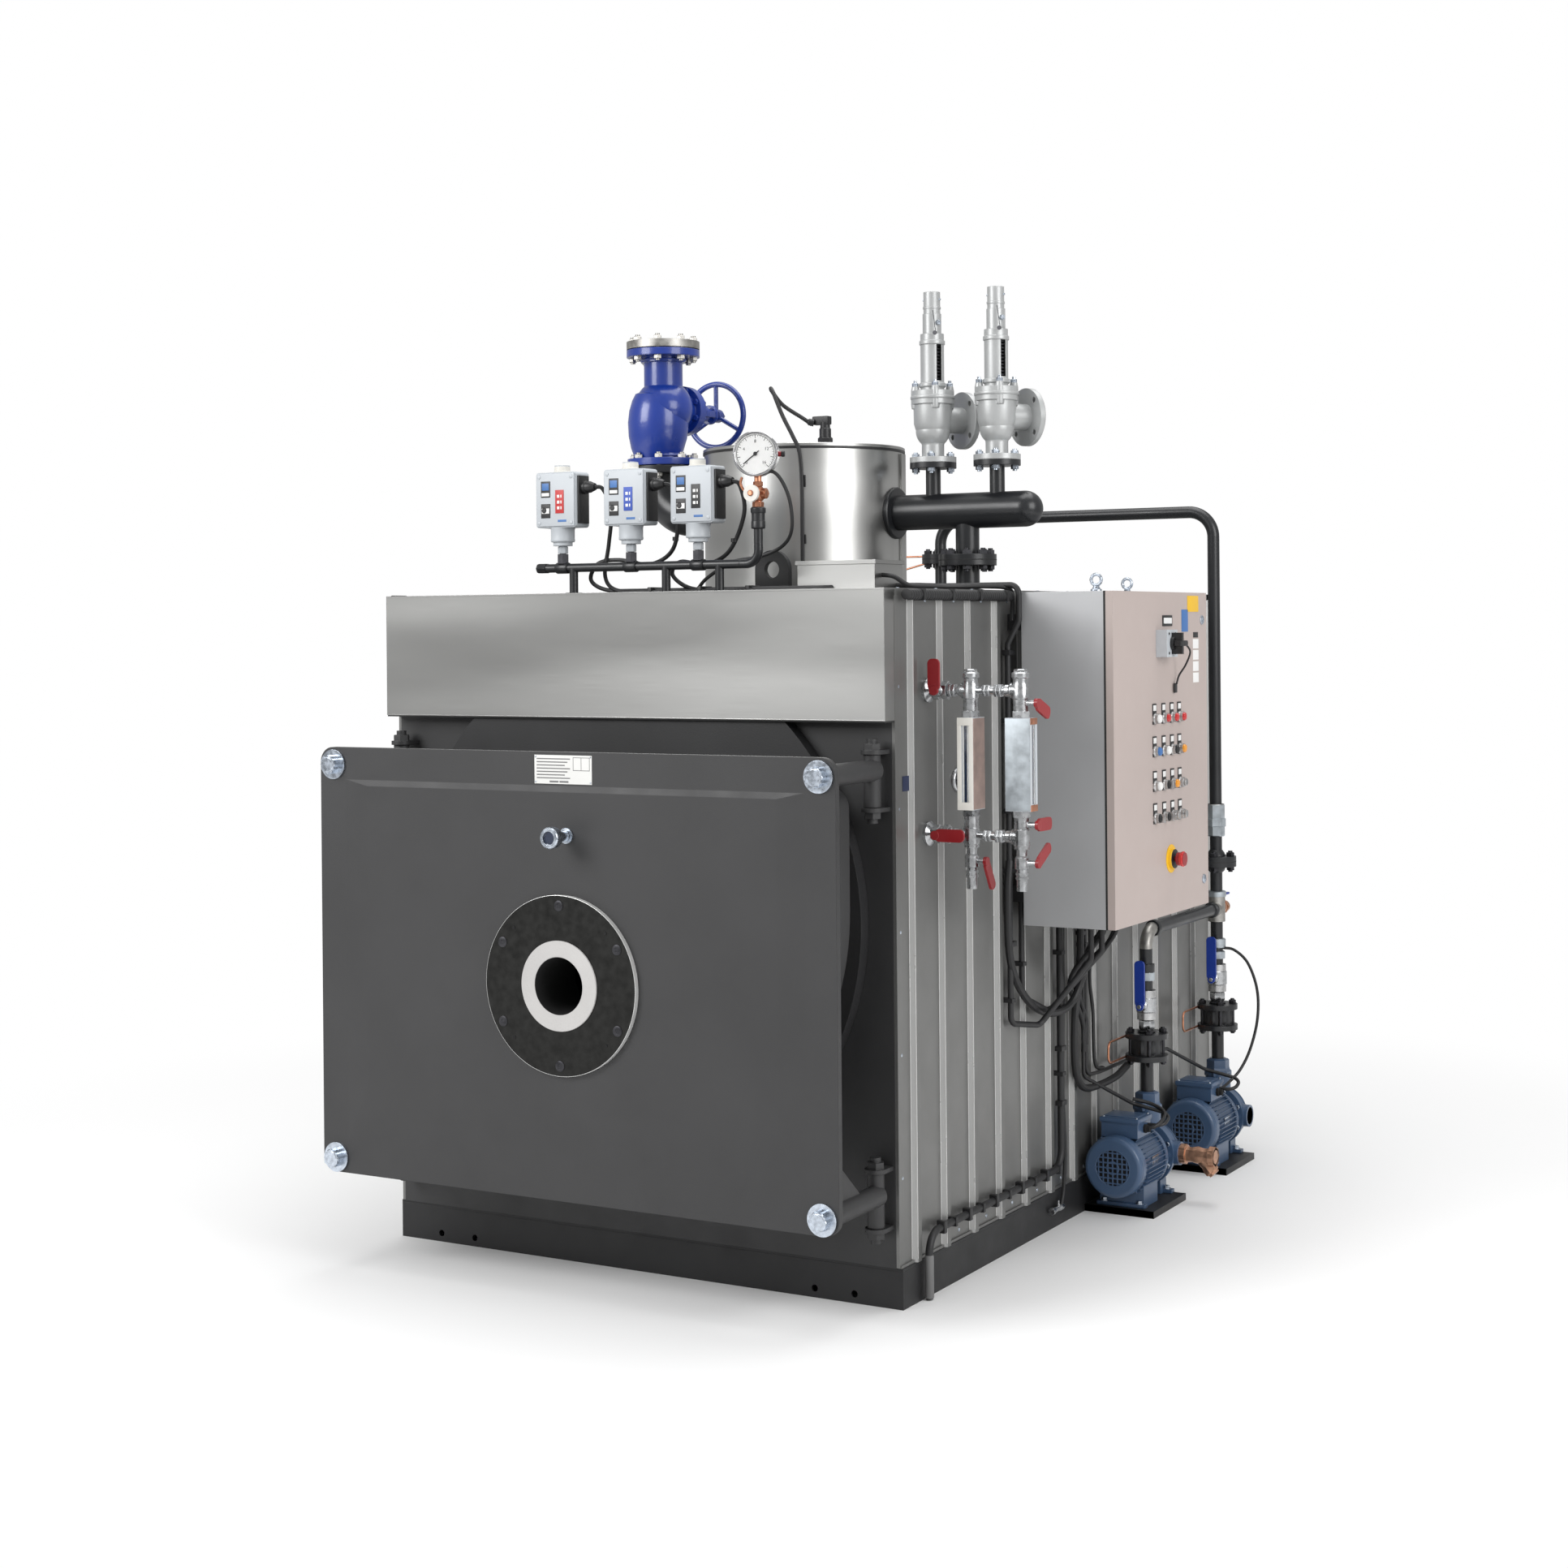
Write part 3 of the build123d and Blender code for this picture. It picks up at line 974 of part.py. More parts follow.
def safety_header():
    """Header of the safety valves: pipe, domed end, two risers and the foot."""
    dome = SAFETY_END - SAFETY_PIPE_RADIUS
    body = rod((DRUM_RADIUS - SAFETY_PIPE_RADIUS, SAFETY_Y, SAFETY_Z), (dome, SAFETY_Y, SAFETY_Z), SAFETY_PIPE_RADIUS)
    body -= rod((0, DRUM_Y, CASING_TOP), (0, DRUM_Y, DRUM_TOP), DRUM_RADIUS)
    body += Pos(dome, SAFETY_Y, SAFETY_Z) * Sphere(SAFETY_PIPE_RADIUS)
    seat = SAFETY_FLANGE_Z - SAFETY_FLANGE_THICKNESS
    for x in SAFETY_VALVE_X:
        body += rod((x, SAFETY_Y, SAFETY_Z), (x, SAFETY_Y, SAFETY_FLANGE_Z), SAFETY_RISER_RADIUS)
        body += rod((x, SAFETY_Y, seat), (x, SAFETY_Y, SAFETY_FLANGE_Z), SAFETY_FLANGE_RADIUS)
    body += rod((SAFETY_FOOT_X, SAFETY_Y, CASING_TOP), (SAFETY_FOOT_X, SAFETY_Y, SAFETY_Z), SAFETY_FOOT_RADIUS)
    ends = around(SAFETY_FOOT_FLANGE_Z, 2 * SAFETY_FLANGE_THICKNESS)
    return body + rod((SAFETY_FOOT_X, SAFETY_Y, ends[0]), (SAFETY_FOOT_X, SAFETY_Y, ends[1]), SAFETY_OUTLET_RADIUS)


def safety_valve(x):
    """Spring safety valve: inlet flange, round body, side outlet, slotted spring housing and cap."""
    base = SAFETY_FLANGE_Z
    seat = base + SAFETY_FLANGE_THICKNESS
    bonnet = SAFETY_BONNET_Z - SAFETY_BONNET_THICKNESS
    steps = ((base, seat, SAFETY_FLANGE_RADIUS), (seat, bonnet, SAFETY_NECK_RADIUS),
             (bonnet, SAFETY_BONNET_Z, SAFETY_BONNET_RADIUS), (SAFETY_BONNET_Z, SAFETY_SPRING_TOP, SAFETY_SPRING_RADIUS),
             (SAFETY_SPRING_TOP, SAFETY_SLEEVE_TOP, SAFETY_SLEEVE_RADIUS),
             (SAFETY_SLEEVE_TOP, SAFETY_CAP_TOP, SAFETY_CAP_RADIUS))
    body = Pos(x, SAFETY_Y, (seat + bonnet) / 2) * Sphere(SAFETY_BODY_RADIUS)
    for low, high, radius in steps:
        body += rod((x, SAFETY_Y, low), (x, SAFETY_Y, high), radius)
    way = Vector(*SAFETY_OUTLET_WAY)
    centre = Vector(x, SAFETY_Y, SAFETY_OUTLET_Z)
    outlet = centre + way * SAFETY_OUTLET_REACH
    body += rod(centre, outlet, SAFETY_OUTLET_NECK)
    body += flange(outlet, way * -1, SAFETY_OUTLET_RADIUS, SAFETY_FLANGE_THICKNESS, 0, SAFETY_OUTLET_CIRCLE,
                   SAFETY_OUTLET_BOLTS, SAFETY_OUTLET_HOLE, 45)
    body -= rod(outlet, outlet - way * SAFETY_OUTLET_DEPTH, SAFETY_OUTLET_BORE)
    slot_width, slot_height = SAFETY_SLOT
    middle = (SAFETY_BONNET_Z + SAFETY_SPRING_TOP) / 2
    slot = block(around(x, slot_width), (SAFETY_Y - 2 * SAFETY_SPRING_RADIUS, SAFETY_Y - SAFETY_SPRING_RADIUS / 2),
                 around(middle, slot_height))
    return body - slot.rotate(Axis((x, SAFETY_Y, 0), (0, 0, 1)), 62)


def safety_valves():
    """The two safety valves."""
    return [safety_valve(x) for x in SAFETY_VALVE_X]


def feed_pipe():
    """Feed water pipe from the riser, along the back and down into the boiler."""
    low = FEED_FLANGE_Z - FEED_FLANGE_THICKNESS
    high = FEED_FLANGE_Z + FEED_FLANGE_THICKNESS
    points = [(FEED_X, FEED_Y, high), (FEED_X, FEED_Y, FEED_Z), (PUMP_X, FEED_Y, FEED_Z), (PUMP_X, FEED_Y, UNION_Z[1])]
    joint = rod((FEED_X, FEED_Y, low), (FEED_X, FEED_Y, high), FEED_FLANGE_RADIUS)
    foot = rod((FEED_X, FEED_Y, CASING_TOP), (FEED_X, FEED_Y, low), FEED_RADIUS)
    return run(points, FEED_RADIUS, FEED_BEND) + [joint, foot]


def ball_valve(y):
    """Ball valve body with its hexagon ends and the stem of its lever."""
    low, high = around(BALL_VALVE_Z, BALL_VALVE_LENGTH)
    body = rod((PUMP_X, y, low), (PUMP_X, y, high), BALL_VALVE_RADIUS)
    body += hexagon((PUMP_X, y, low), (0, 0, 1), *BALL_VALVE_HEX)
    body += hexagon((PUMP_X, y, high), (0, 0, -1), *BALL_VALVE_HEX)
    end = y - PUMP_LEVER_REACH + LEVER_GAP
    return body + rod((PUMP_X, y, BALL_VALVE_Z), (PUMP_X, end, BALL_VALVE_Z), BALL_STEM_RADIUS)


def check_valve(y):
    """Check valve between its two flanges."""
    low, high = around(CHECK_Z, CHECK_HEIGHT)
    body = rod((PUMP_X, y, low), (PUMP_X, y, high), CHECK_BODY_RADIUS)
    body += rod((PUMP_X, y, low), (PUMP_X, y, low + CHECK_FLANGE), FEED_FLANGE_RADIUS)
    return body + rod((PUMP_X, y, high - CHECK_FLANGE), (PUMP_X, y, high), FEED_FLANGE_RADIUS)


def pump_risers():
    """Pressure pipes of the two pumps, with their check valves, ball valves and the tee."""
    low, high = around(CHECK_Z, CHECK_HEIGHT)
    near_y = PUMP_OUTLET_Y[0]
    tee_y = FEED_Y - TEE_LENGTH / 2
    near = run([(PUMP_X, near_y, high), (PUMP_X, near_y, TEE_Z), (PUMP_X, tee_y, TEE_Z)], FEED_RADIUS, CROSSOVER_BEND)
    near[0] = near[0] + ball_valve(near_y)
    far = rod((PUMP_X, FEED_Y, high), (PUMP_X, FEED_Y, UNION_Z[0]), FEED_RADIUS) + ball_valve(FEED_Y)
    tee = around(TEE_Z, TEE_LENGTH)
    far += rod((PUMP_X, FEED_Y, tee[0]), (PUMP_X, FEED_Y, tee[1]), TEE_RADIUS)
    far += rod((PUMP_X, tee_y, TEE_Z), (PUMP_X, FEED_Y, TEE_Z), TEE_BRANCH_RADIUS)
    joint = around(RISER_FLANGE_Z, 2 * FEED_FLANGE_THICKNESS)
    far += rod((PUMP_X, FEED_Y, joint[0]), (PUMP_X, FEED_Y, joint[1]), FEED_FLANGE_RADIUS)
    union = rod((PUMP_X, FEED_Y, UNION_Z[0]), (PUMP_X, FEED_Y, UNION_Z[1]), TEE_RADIUS)
    solids = near + [far, union]
    for y in PUMP_OUTLET_Y:
        solids.append(check_valve(y))
        solids.append(rod((PUMP_X, y, PUMP_NECK_TOP), (PUMP_X, y, low), FEED_RADIUS))
    return solids


def lever(pivot, axis, way, size):
    """Flat cock lever: hub on its stem, and a grip."""
    length, width = size
    plane = Plane(origin=pivot, x_dir=Vector(*way).normalized(), z_dir=Vector(*axis))
    outline = plane * Pos(length / 2, 0) * RectangleRounded(length, width, width / 2.5)
    return extrude(outline, LEVER_THICKNESS) + extrude(plane * Circle(LEVER_HUB_RADIUS), LEVER_THICKNESS + 2)


def pump_lever(number):
    """Lever of one pump's ball valve."""
    pivot = (PUMP_X, PUMP_OUTLET_Y[number] - PUMP_LEVER_REACH, BALL_VALVE_Z)
    return lever(pivot, (0, -1, 0), (0, 0, 1), PUMP_LEVER)


def pump_bases():
    """Pump base plates beside the boiler's frame."""
    solids = []
    for fan_y in PUMP_FAN_Y:
        start = fan_y + PLATE_START
        solids.append(block((BASE_WIDTH / 2, BASE_WIDTH / 2 + PLATE_WIDTH), (start, start + PLATE_LENGTH),
                            (0, PLATE_HEIGHT)))
    return solids


def fan_cover(fan_y):
    """Fan cover with a rounded edge and its grille recess."""
    cover = rod((PUMP_X, fan_y, PUMP_AXIS), (PUMP_X, fan_y + FAN_COVER_LENGTH, PUMP_AXIS), FAN_COVER_RADIUS)
    cover = fillet(cover.edges().group_by(Axis.Y)[0], FAN_COVER_CORNER)
    return cover - rod((PUMP_X, fan_y, PUMP_AXIS), (PUMP_X, fan_y + GRILLE_DEPTH, PUMP_AXIS), GRILLE_RADIUS)


def terminal_box(fan_y):
    """Terminal box with its lid and the neck that joins it to the motor."""
    wide, deep, high = TERMINAL_BOX
    rim, lid = TERMINAL_LID
    middle = fan_y + TERMINAL_BOX_OFFSET + deep / 2
    low = PUMP_AXIS + MOTOR_RADIUS - TERMINAL_SINK
    body = block(around(PUMP_X, wide / 2), around(middle, deep / 2), (PUMP_AXIS, low))
    body += block(around(PUMP_X, wide), around(middle, deep), (low, low + high - lid))
    return body + block(around(PUMP_X, wide + 2 * rim), around(middle, deep + 2 * rim), (low + high - lid, low + high))


def pump_motor(fan_y):
    """Motor with its fan cover, terminal box and pedestal."""
    front = fan_y + FAN_COVER_LENGTH
    body = rod((PUMP_X, front, PUMP_AXIS), (PUMP_X, front + MOTOR_LENGTH, PUMP_AXIS), MOTOR_RADIUS)
    body += block(around(PUMP_X, PEDESTAL_WIDTH), around(front + MOTOR_LENGTH / 2, PEDESTAL_LENGTH),
                  (PLATE_HEIGHT, PUMP_AXIS))
    return body + fan_cover(fan_y) + terminal_box(fan_y)


def pump_casing(number):
    """Pump casing with its lantern, foot, outlet neck and inlet neck."""
    fan_y = PUMP_FAN_Y[number]
    plate = fan_y + CASING_OFFSET
    y = PUMP_OUTLET_Y[number]
    steps = ((plate - LANTERN_LENGTH, plate, LANTERN_RADIUS), (plate, plate + CASING_PLATE, CASING_RADIUS),
             (plate + CASING_PLATE, plate + CASING_LENGTH, CASING_BODY_RADIUS))
    body = rod((PUMP_X, y, PUMP_AXIS), (PUMP_X, y, PUMP_NECK_TOP), PUMP_NECK_RADIUS)
    for start, end, radius in steps:
        body += rod((PUMP_X, start, PUMP_AXIS), (PUMP_X, end, PUMP_AXIS), radius)
    radius, top = PUMP_SHOULDER
    body += rod((PUMP_X, y, PUMP_AXIS), (PUMP_X, y, top), radius)
    radius, reach = PUMP_INLET
    body += rod((PUMP_X, y, PUMP_AXIS), (PUMP_X + reach, y, PUMP_AXIS), radius)
    return body + block(around(PUMP_X, CASING_RADIUS), (plate + CASING_PLATE, fan_y + PLATE_START + PLATE_LENGTH),
                        (PLATE_HEIGHT, PLATE_HEIGHT + PUMP_FOOT_HEIGHT))


def strainer():
    """Y strainer at the near pump's inlet, with its slanted screen leg."""
    y = PUMP_OUTLET_Y[0]
    start = Vector(PUMP_X + PUMP_INLET[1], y, PUMP_AXIS)
    end = start + Vector(STRAINER_LENGTH, 0, 0)
    radius, length = STRAINER_LEG
    middle = (start + end) / 2
    body = rod(start, end, STRAINER_RADIUS)
    body += rod(middle, middle + Vector(1, 0, -1).normalized() * length, radius)
    return body + hexagon(start, (1, 0, 0), *STRAINER_HEX) + hexagon(end, (-1, 0, 0), *STRAINER_HEX)


def gauge_levers():
    """Pivot, axis and rest direction of each level gauge lever."""
    front = GAUGE_LINE_Y - GAUGE_COCK_RADIUS - LEVER_STEM_REACH[0]
    side = GAUGE_PLACES[1] + GAUGE_BODY_DEPTH / 2 + LEVER_STEM_REACH[1]
    near = GAUGE_PLACES[0] + GAUGE_COCK_RADIUS + LEVER_STEM_REACH[2]
    pivot_x = CASING_HALF + LEVER_PIVOT
    return {
        "gauge_lever_1": ((pivot_x, front, GAUGE_UPPER_Z), (0, -1, 0), (0, 0, 1)),
        "gauge_lever_2": ((pivot_x, front, GAUGE_LOWER_Z), (0, -1, 0), (1, 0, 0)),
        "gauge_lever_3": ((side, GAUGE_LINE_Y, GAUGE_UPPER_Z - GAUGE_STEM_DROP), (1, 0, 0), (0, 0.93, -0.37)),
        "gauge_lever_4": ((side, GAUGE_LINE_Y, GAUGE_LOWER_Z + GAUGE_STEM_DROP), (1, 0, 0), (0, 1, 0)),
        "drain_lever_1": ((near, GAUGE_LINE_Y, DRAIN_Z), (1, 0, 0), (0, 0.5, -0.86)),
        "drain_lever_2": ((side, GAUGE_LINE_Y, DRAIN_Z), (1, 0, 0), (0, 0.88, 0.47)),
    }


def lever_stem(pivot, axis):
    """Stem of a level gauge cock, from the cock's middle to its lever."""
    if axis[0] != 0:
        middle = min(GAUGE_PLACES, key=lambda place: abs(place - pivot[0]))
        start = (middle, pivot[1], pivot[2])
    else:
        start = (pivot[0], GAUGE_LINE_Y, pivot[2])
    return rod(start, Vector(*pivot) - Vector(*axis) * LEVER_GAP, LEVER_STEM_RADIUS)


def gauge_line(z):
    """One line of the level gauges: wall plate, nozzle and pipe."""
    first = CASING_HALF + GAUGE_NOZZLE[0]
    last = CASING_HALF + GAUGE_NOZZLE[1]
    line = rod((CASING_HALF, GAUGE_LINE_Y, z), (GAUGE_PLACES[-1], GAUGE_LINE_Y, z), GAUGE_PIPE_RADIUS)
    line += rod((CASING_HALF, GAUGE_LINE_Y, z), (CASING_HALF + ESCUTCHEON[1], GAUGE_LINE_Y, z), ESCUTCHEON[0])
    line += rod((first, GAUGE_LINE_Y, z), (last, GAUGE_LINE_Y, z), GAUGE_COCK_RADIUS)
    for x in (first, last - GAUGE_NUT[1]):
        line += hexagon((x, GAUGE_LINE_Y, z), (1, 0, 0), GAUGE_NUT[0] + 2 * GAUGE_NUT_STEP, GAUGE_NUT[1])
    return line


def level_gauge_cocks():
    """Level gauge lines: wall plates, nozzles, cock bodies, nuts, caps and drains."""
    upper = gauge_line(GAUGE_UPPER_Z)
    lower = gauge_line(GAUGE_LOWER_Z)
    cap = GAUGE_UPPER_Z + GAUGE_CAP_RISE
    low, high = GAUGE_BODY_Z
    for x in GAUGE_PLACES:
        upper += rod((x, GAUGE_LINE_Y, high), (x, GAUGE_LINE_Y, cap), GAUGE_COCK_RADIUS)
        upper += hexagon((x, GAUGE_LINE_Y, high), (0, 0, 1), GAUGE_NUT[0] + 2 * GAUGE_NUT_STEP, GAUGE_NUT[1])
        upper += hexagon((x, GAUGE_LINE_Y, cap), (0, 0, 1), *GAUGE_CAP)
        lower += rod((x, GAUGE_LINE_Y, GAUGE_LOWER_Z - GAUGE_STEM_DROP), (x, GAUGE_LINE_Y, low), GAUGE_COCK_RADIUS)
        lower += hexagon((x, GAUGE_LINE_Y, low), (0, 0, -1), GAUGE_NUT[0] + 2 * GAUGE_NUT_STEP, GAUGE_NUT[1])
        lower += rod((x, GAUGE_LINE_Y, DRAIN_END), (x, GAUGE_LINE_Y, low), GAUGE_DRAIN_RADIUS)
    for pivot, axis, _ in gauge_levers().values():
        if pivot[2] > (low + high) / 2:
            upper += lever_stem(pivot, axis)
        else:
            lower += lever_stem(pivot, axis)
    plug = rod((CASING_HALF, PLUG_Y, PLUG_Z), (CASING_HALF + PLUG[1], PLUG_Y, PLUG_Z), PLUG[0])
    return [upper, lower, plug]


def level_gauges():
    """Level gauge bodies between their cocks, each with a slot in front of its glass."""
    width, depth, margin = GAUGE_SLOT
    heights = (GAUGE_BODY_Z[0] + margin, GAUGE_BODY_Z[1] - margin)
    near, far = GAUGE_PLACES
    front = GAUGE_LINE_Y - GAUGE_BODY_DEPTH / 2
    side = far + GAUGE_BODY_DEPTH / 2
    first = block(around(near, GAUGE_BODY_WIDTH), around(GAUGE_LINE_Y, GAUGE_BODY_DEPTH), GAUGE_BODY_Z)
    first -= block(around(near, width), (front, front + depth), heights)
    second = block(around(far, GAUGE_BODY_DEPTH), around(GAUGE_LINE_Y, GAUGE_BODY_WIDTH), GAUGE_BODY_Z)
    second -= block((side - depth, side), around(GAUGE_LINE_Y, width), heights)
    return [first, second]


def cabinet_frame(x, inset):
    """Block of the cabinet's outline between two values of X, smaller all round by the inset."""
    return block(x, (CABINET_FRONT_Y + inset, CABINET_BACK_Y - inset), (CABINET_BOTTOM + inset, CABINET_TOP - inset))


def cabinet_body():
    """Steel cabinet, open to its door, with the seal lip and the gland plate."""
    lip = (CABINET_BODY_X - CABINET_WALL, CABINET_OUTER_X - CABINET_DOOR_THICKNESS)
    shell = cabinet_frame((CABINET_INNER_X, CABINET_BODY_X), 0) + cabinet_frame(lip, CABINET_LIP)
    shell -= cabinet_frame((CABINET_INNER_X + CABINET_WALL, CABINET_BODY_X - CABINET_WALL), CABINET_WALL)
    shell -= cabinet_frame(lip, CABINET_RIM)
    x, y, thick = GLAND_PLATE
    return shell + block(x, y, (CABINET_BOTTOM - thick, CABINET_BOTTOM))


def cabinet_door():
    """Cabinet door on its front hinge edge."""
    return cabinet_frame((CABINET_OUTER_X - CABINET_DOOR_THICKNESS, CABINET_OUTER_X), 0)


def cabinet_brackets():
    """Rails between the casing and the cabinet's back."""
    solids = []
    inset_y, inset_z = BRACKET_INSET
    for z in (CABINET_BOTTOM + inset_z, CABINET_TOP - inset_z):
        for y in (CABINET_FRONT_Y + inset_y, CABINET_BACK_Y - inset_y):
            solids.append(block((CASING_HALF, CABINET_INNER_X), around(y, BRACKET_WIDTH), around(z, BRACKET_HEIGHT)))
    return solids


def control_buttons():
    """Lamps, buttons and selectors on the cabinet door, with the main switch plate and the stop button's collar."""
    solids = []
    face = CABINET_OUTER_X
    for z in BUTTON_ROWS_Z:
        for y in BUTTON_COLUMNS_Y:
            solids.append(rod((face, y, z), (face + BUTTON_HEIGHT, y, z), BUTTON_RADIUS))
    wide, high, thick = SWITCH_PLATE
    solids.append(block((face, face + thick), around(SWITCH_PLATE_Y, wide), around(SWITCH_PLATE_Z, high)))
    radius, height = ESTOP_COLLAR
    solids.append(tube((face, ESTOP_Y, ESTOP_Z), (face + height, ESTOP_Y, ESTOP_Z), radius,
                       ESTOP_STEM_RADIUS + PIN_CLEARANCE))
    return solids


def main_switch():
    """Rotary handle of the main switch."""
    face = CABINET_OUTER_X + SWITCH_PLATE[2] + FIT
    width, length, end = SWITCH_GRIP
    body = rod((face, SWITCH_PLATE_Y, SWITCH_PLATE_Z), (face + SWITCH_HANDLE_BASE, SWITCH_PLATE_Y, SWITCH_PLATE_Z),
               SWITCH_HANDLE_RADIUS)
    return body + block((face, face + end), around(SWITCH_PLATE_Y, width), around(SWITCH_PLATE_Z, length))


def estop_button():
    """Mushroom push button of the emergency stop, with its stem in the collar."""
    seat = CABINET_OUTER_X + ESTOP_TRAVEL + ESTOP_CLEARANCE
    face = seat + ESTOP_COLLAR[1]
    radius, height = ESTOP_HEAD
    head = rod((face, ESTOP_Y, ESTOP_Z), (face + height, ESTOP_Y, ESTOP_Z), radius)
    return head + rod((seat, ESTOP_Y, ESTOP_Z), (face, ESTOP_Y, ESTOP_Z), ESTOP_STEM_RADIUS)


def wall_clip(x, y, z, radius):
    """Clip from the casing's flat round an upright cable."""
    wide, high = CLIP
    body = block((CASING_HALF, x + radius + CLIP_WALL), around(y, wide), around(z, high))
    return body - rod((x, y, z - high), (x, y, z + high), radius)


def rib_clip(x, y, z, radius):
    """Clip from a rib round a cable that runs along the casing."""
    wide = CLIP[1]
    body = block((RIB_FACE, x + radius + CLIP_WALL), around(y, wide), around(z, 2 * (radius + CLIP_WALL)))
    return body - rod((x, y - wide, z), (x, y + wide, z), radius)


def rib(number):
    """Middle of one rib along the casing."""
    return RIB_FIRST + number * RIB_PITCH


def conduits():
    """Cables and conduits of the right side, clipped to the casing."""
    bundle_x = RIB_FACE + BUNDLE_RADIUS + STANDOFF
    solids = [rod((bundle_x, BUNDLE_Y[0], BUNDLE_Z), (bundle_x, BUNDLE_Y[1], BUNDLE_Z), BUNDLE_RADIUS)]
    for number in range(4):
        solids.append(rib_clip(bundle_x, rib(number), BUNDLE_Z, BUNDLE_RADIUS))
    for points, radius, bend in CABLE_ROUTES:
        solids.extend(run(points, radius, bend))
    for x, y, z, radius in WALL_CLIPS:
        solids.append(wall_clip(x, y, z, radius))
    for number in range(1, 6):
        solids.append(rib_clip(FLOOR_CONDUIT_X, rib(number), FOOT_Z, CONDUIT_RADIUS))
    return solids


def copper_loop(points, joint, radius):
    """Thin copper tube between the two flanges of a joint, cut back to their rims."""
    pieces = run(points, COPPER_RADIUS, COPPER_BEND)
    rim = rod(joint[0], joint[1], radius)
    pieces[0] = pieces[0] - rim
    pieces[-1] = pieces[-1] - rim
    return pieces


def copper_tubes():
    """Copper loops across the check valves and across the joint of the feed water pipe."""
    solids = []
    x = PUMP_X - COPPER_OFFSET
    for y in PUMP_OUTLET_Y:
        points = []
        for along, z in ((0, 1), (-COPPER_REACH, 1), (-COPPER_REACH, -1), (0, -1)):
            points.append((x, y + along, CHECK_Z + z * COPPER_SPREAD))
        low, high = around(CHECK_Z, CHECK_HEIGHT)
        solids.extend(copper_loop(points, ((PUMP_X, y, low), (PUMP_X, y, high)), FEED_FLANGE_RADIUS))
    low, high = around(FEED_FLANGE_Z, 2 * FEED_FLANGE_THICKNESS)
    points = [(FEED_X, FEED_Y, FEED_FLANGE_Z + FEED_LOOP[1]), (FEED_X - FEED_LOOP[0], FEED_Y, FEED_FLANGE_Z + FEED_LOOP[1]),
              (FEED_X - FEED_LOOP[0], FEED_Y, FEED_FLANGE_Z - FEED_LOOP[2]), (FEED_X, FEED_Y, FEED_FLANGE_Z)]
    solids.extend(copper_loop(points, ((FEED_X, FEED_Y, low), (FEED_X, FEED_Y, high)), FEED_FLANGE_RADIUS))
    return solids


PARTS = {
    "base_frame": base_frame,
    "base_deck": base_deck,
    "front_panel": front_panel,
    "pressure_vessel": pressure_vessel,
    "front_tube_plate": front_tube_plate,
    "side_cladding_right": lambda: side_cladding(1),
    "side_cladding_left": lambda: side_cladding(-1),
    "top_cladding": top_cladding,
    "rear_cladding": rear_cladding,
    "smoke_box": smoke_box,
    "front_hood": front_hood,
    "hinge_lugs": hinge_lugs,
    "latch_arms": latch_arms,
    "steam_drum": steam_drum,
    "drum_lid": drum_lid,
    "steam_elbow": steam_elbow,
    "steam_valve_body": steam_valve_body,
    "valve_gaskets": valve_gaskets,
    "steam_outlet_flange": steam_outlet_flange,
    "handwheel": handwheel,
    "switch_header": switch_header,
    "pressure_switches": pressure_switches,
    "pressure_gauge": pressure_gauge,
    "lifting_lugs": lifting_lugs,
    "junction_box": junction_box,
    "safety_header": safety_header,
    "safety_valves": safety_valves,
    "feed_pipe": feed_pipe,
    "pump_risers": pump_risers,
    "pump_bases": pump_bases,
    "pump_motors": lambda: [pump_motor(y) for y in PUMP_FAN_Y],
    "pump_casings": lambda: [pump_casing(n) for n in range(len(PUMP_FAN_Y))],
    "strainer": strainer,
    "pump_lever_1": lambda: pump_lever(0),
    "pump_lever_2": lambda: pump_lever(1),
    "level_gauge_cocks": level_gauge_cocks,
    "level_gauges": level_gauges,
    "cabinet_body": cabinet_body,
    "cabinet_brackets": cabinet_brackets,
    "conduits": conduits,
    "copper_tubes": copper_tubes,
    "cabinet_door": cabinet_door,
    "control_buttons": control_buttons,
    "main_switch": main_switch,
    "estop_button": estop_button,
    "door_plate": door_plate,
    "door_box": door_box,
    "door_lining": door_lining,
    "door_seal": door_seal,
    "burner_plate": burner_plate,
    "burner_ring": burner_ring,
    "sight_glass": sight_glass,
    "door_bolts": lambda: [door_bolt(side, z, SHORT_SHANK) for side in (-1, 1) for z in BOLT_HEIGHTS],
    "door_hinge_arms": door_hinge_arms,
}

os.makedirs("parts", exist_ok=True)
for part_name, maker in PARTS.items():
    save(part_name, maker())
for part_name, (pivot, axis, way) in gauge_levers().items():
    size = DRAIN_LEVER if part_name.startswith("drain") else GAUGE_LEVER
    save(part_name, lever(pivot, axis, way, size))
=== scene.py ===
import json
import math

import bmesh
import bpy
from mathutils import Matrix, Vector


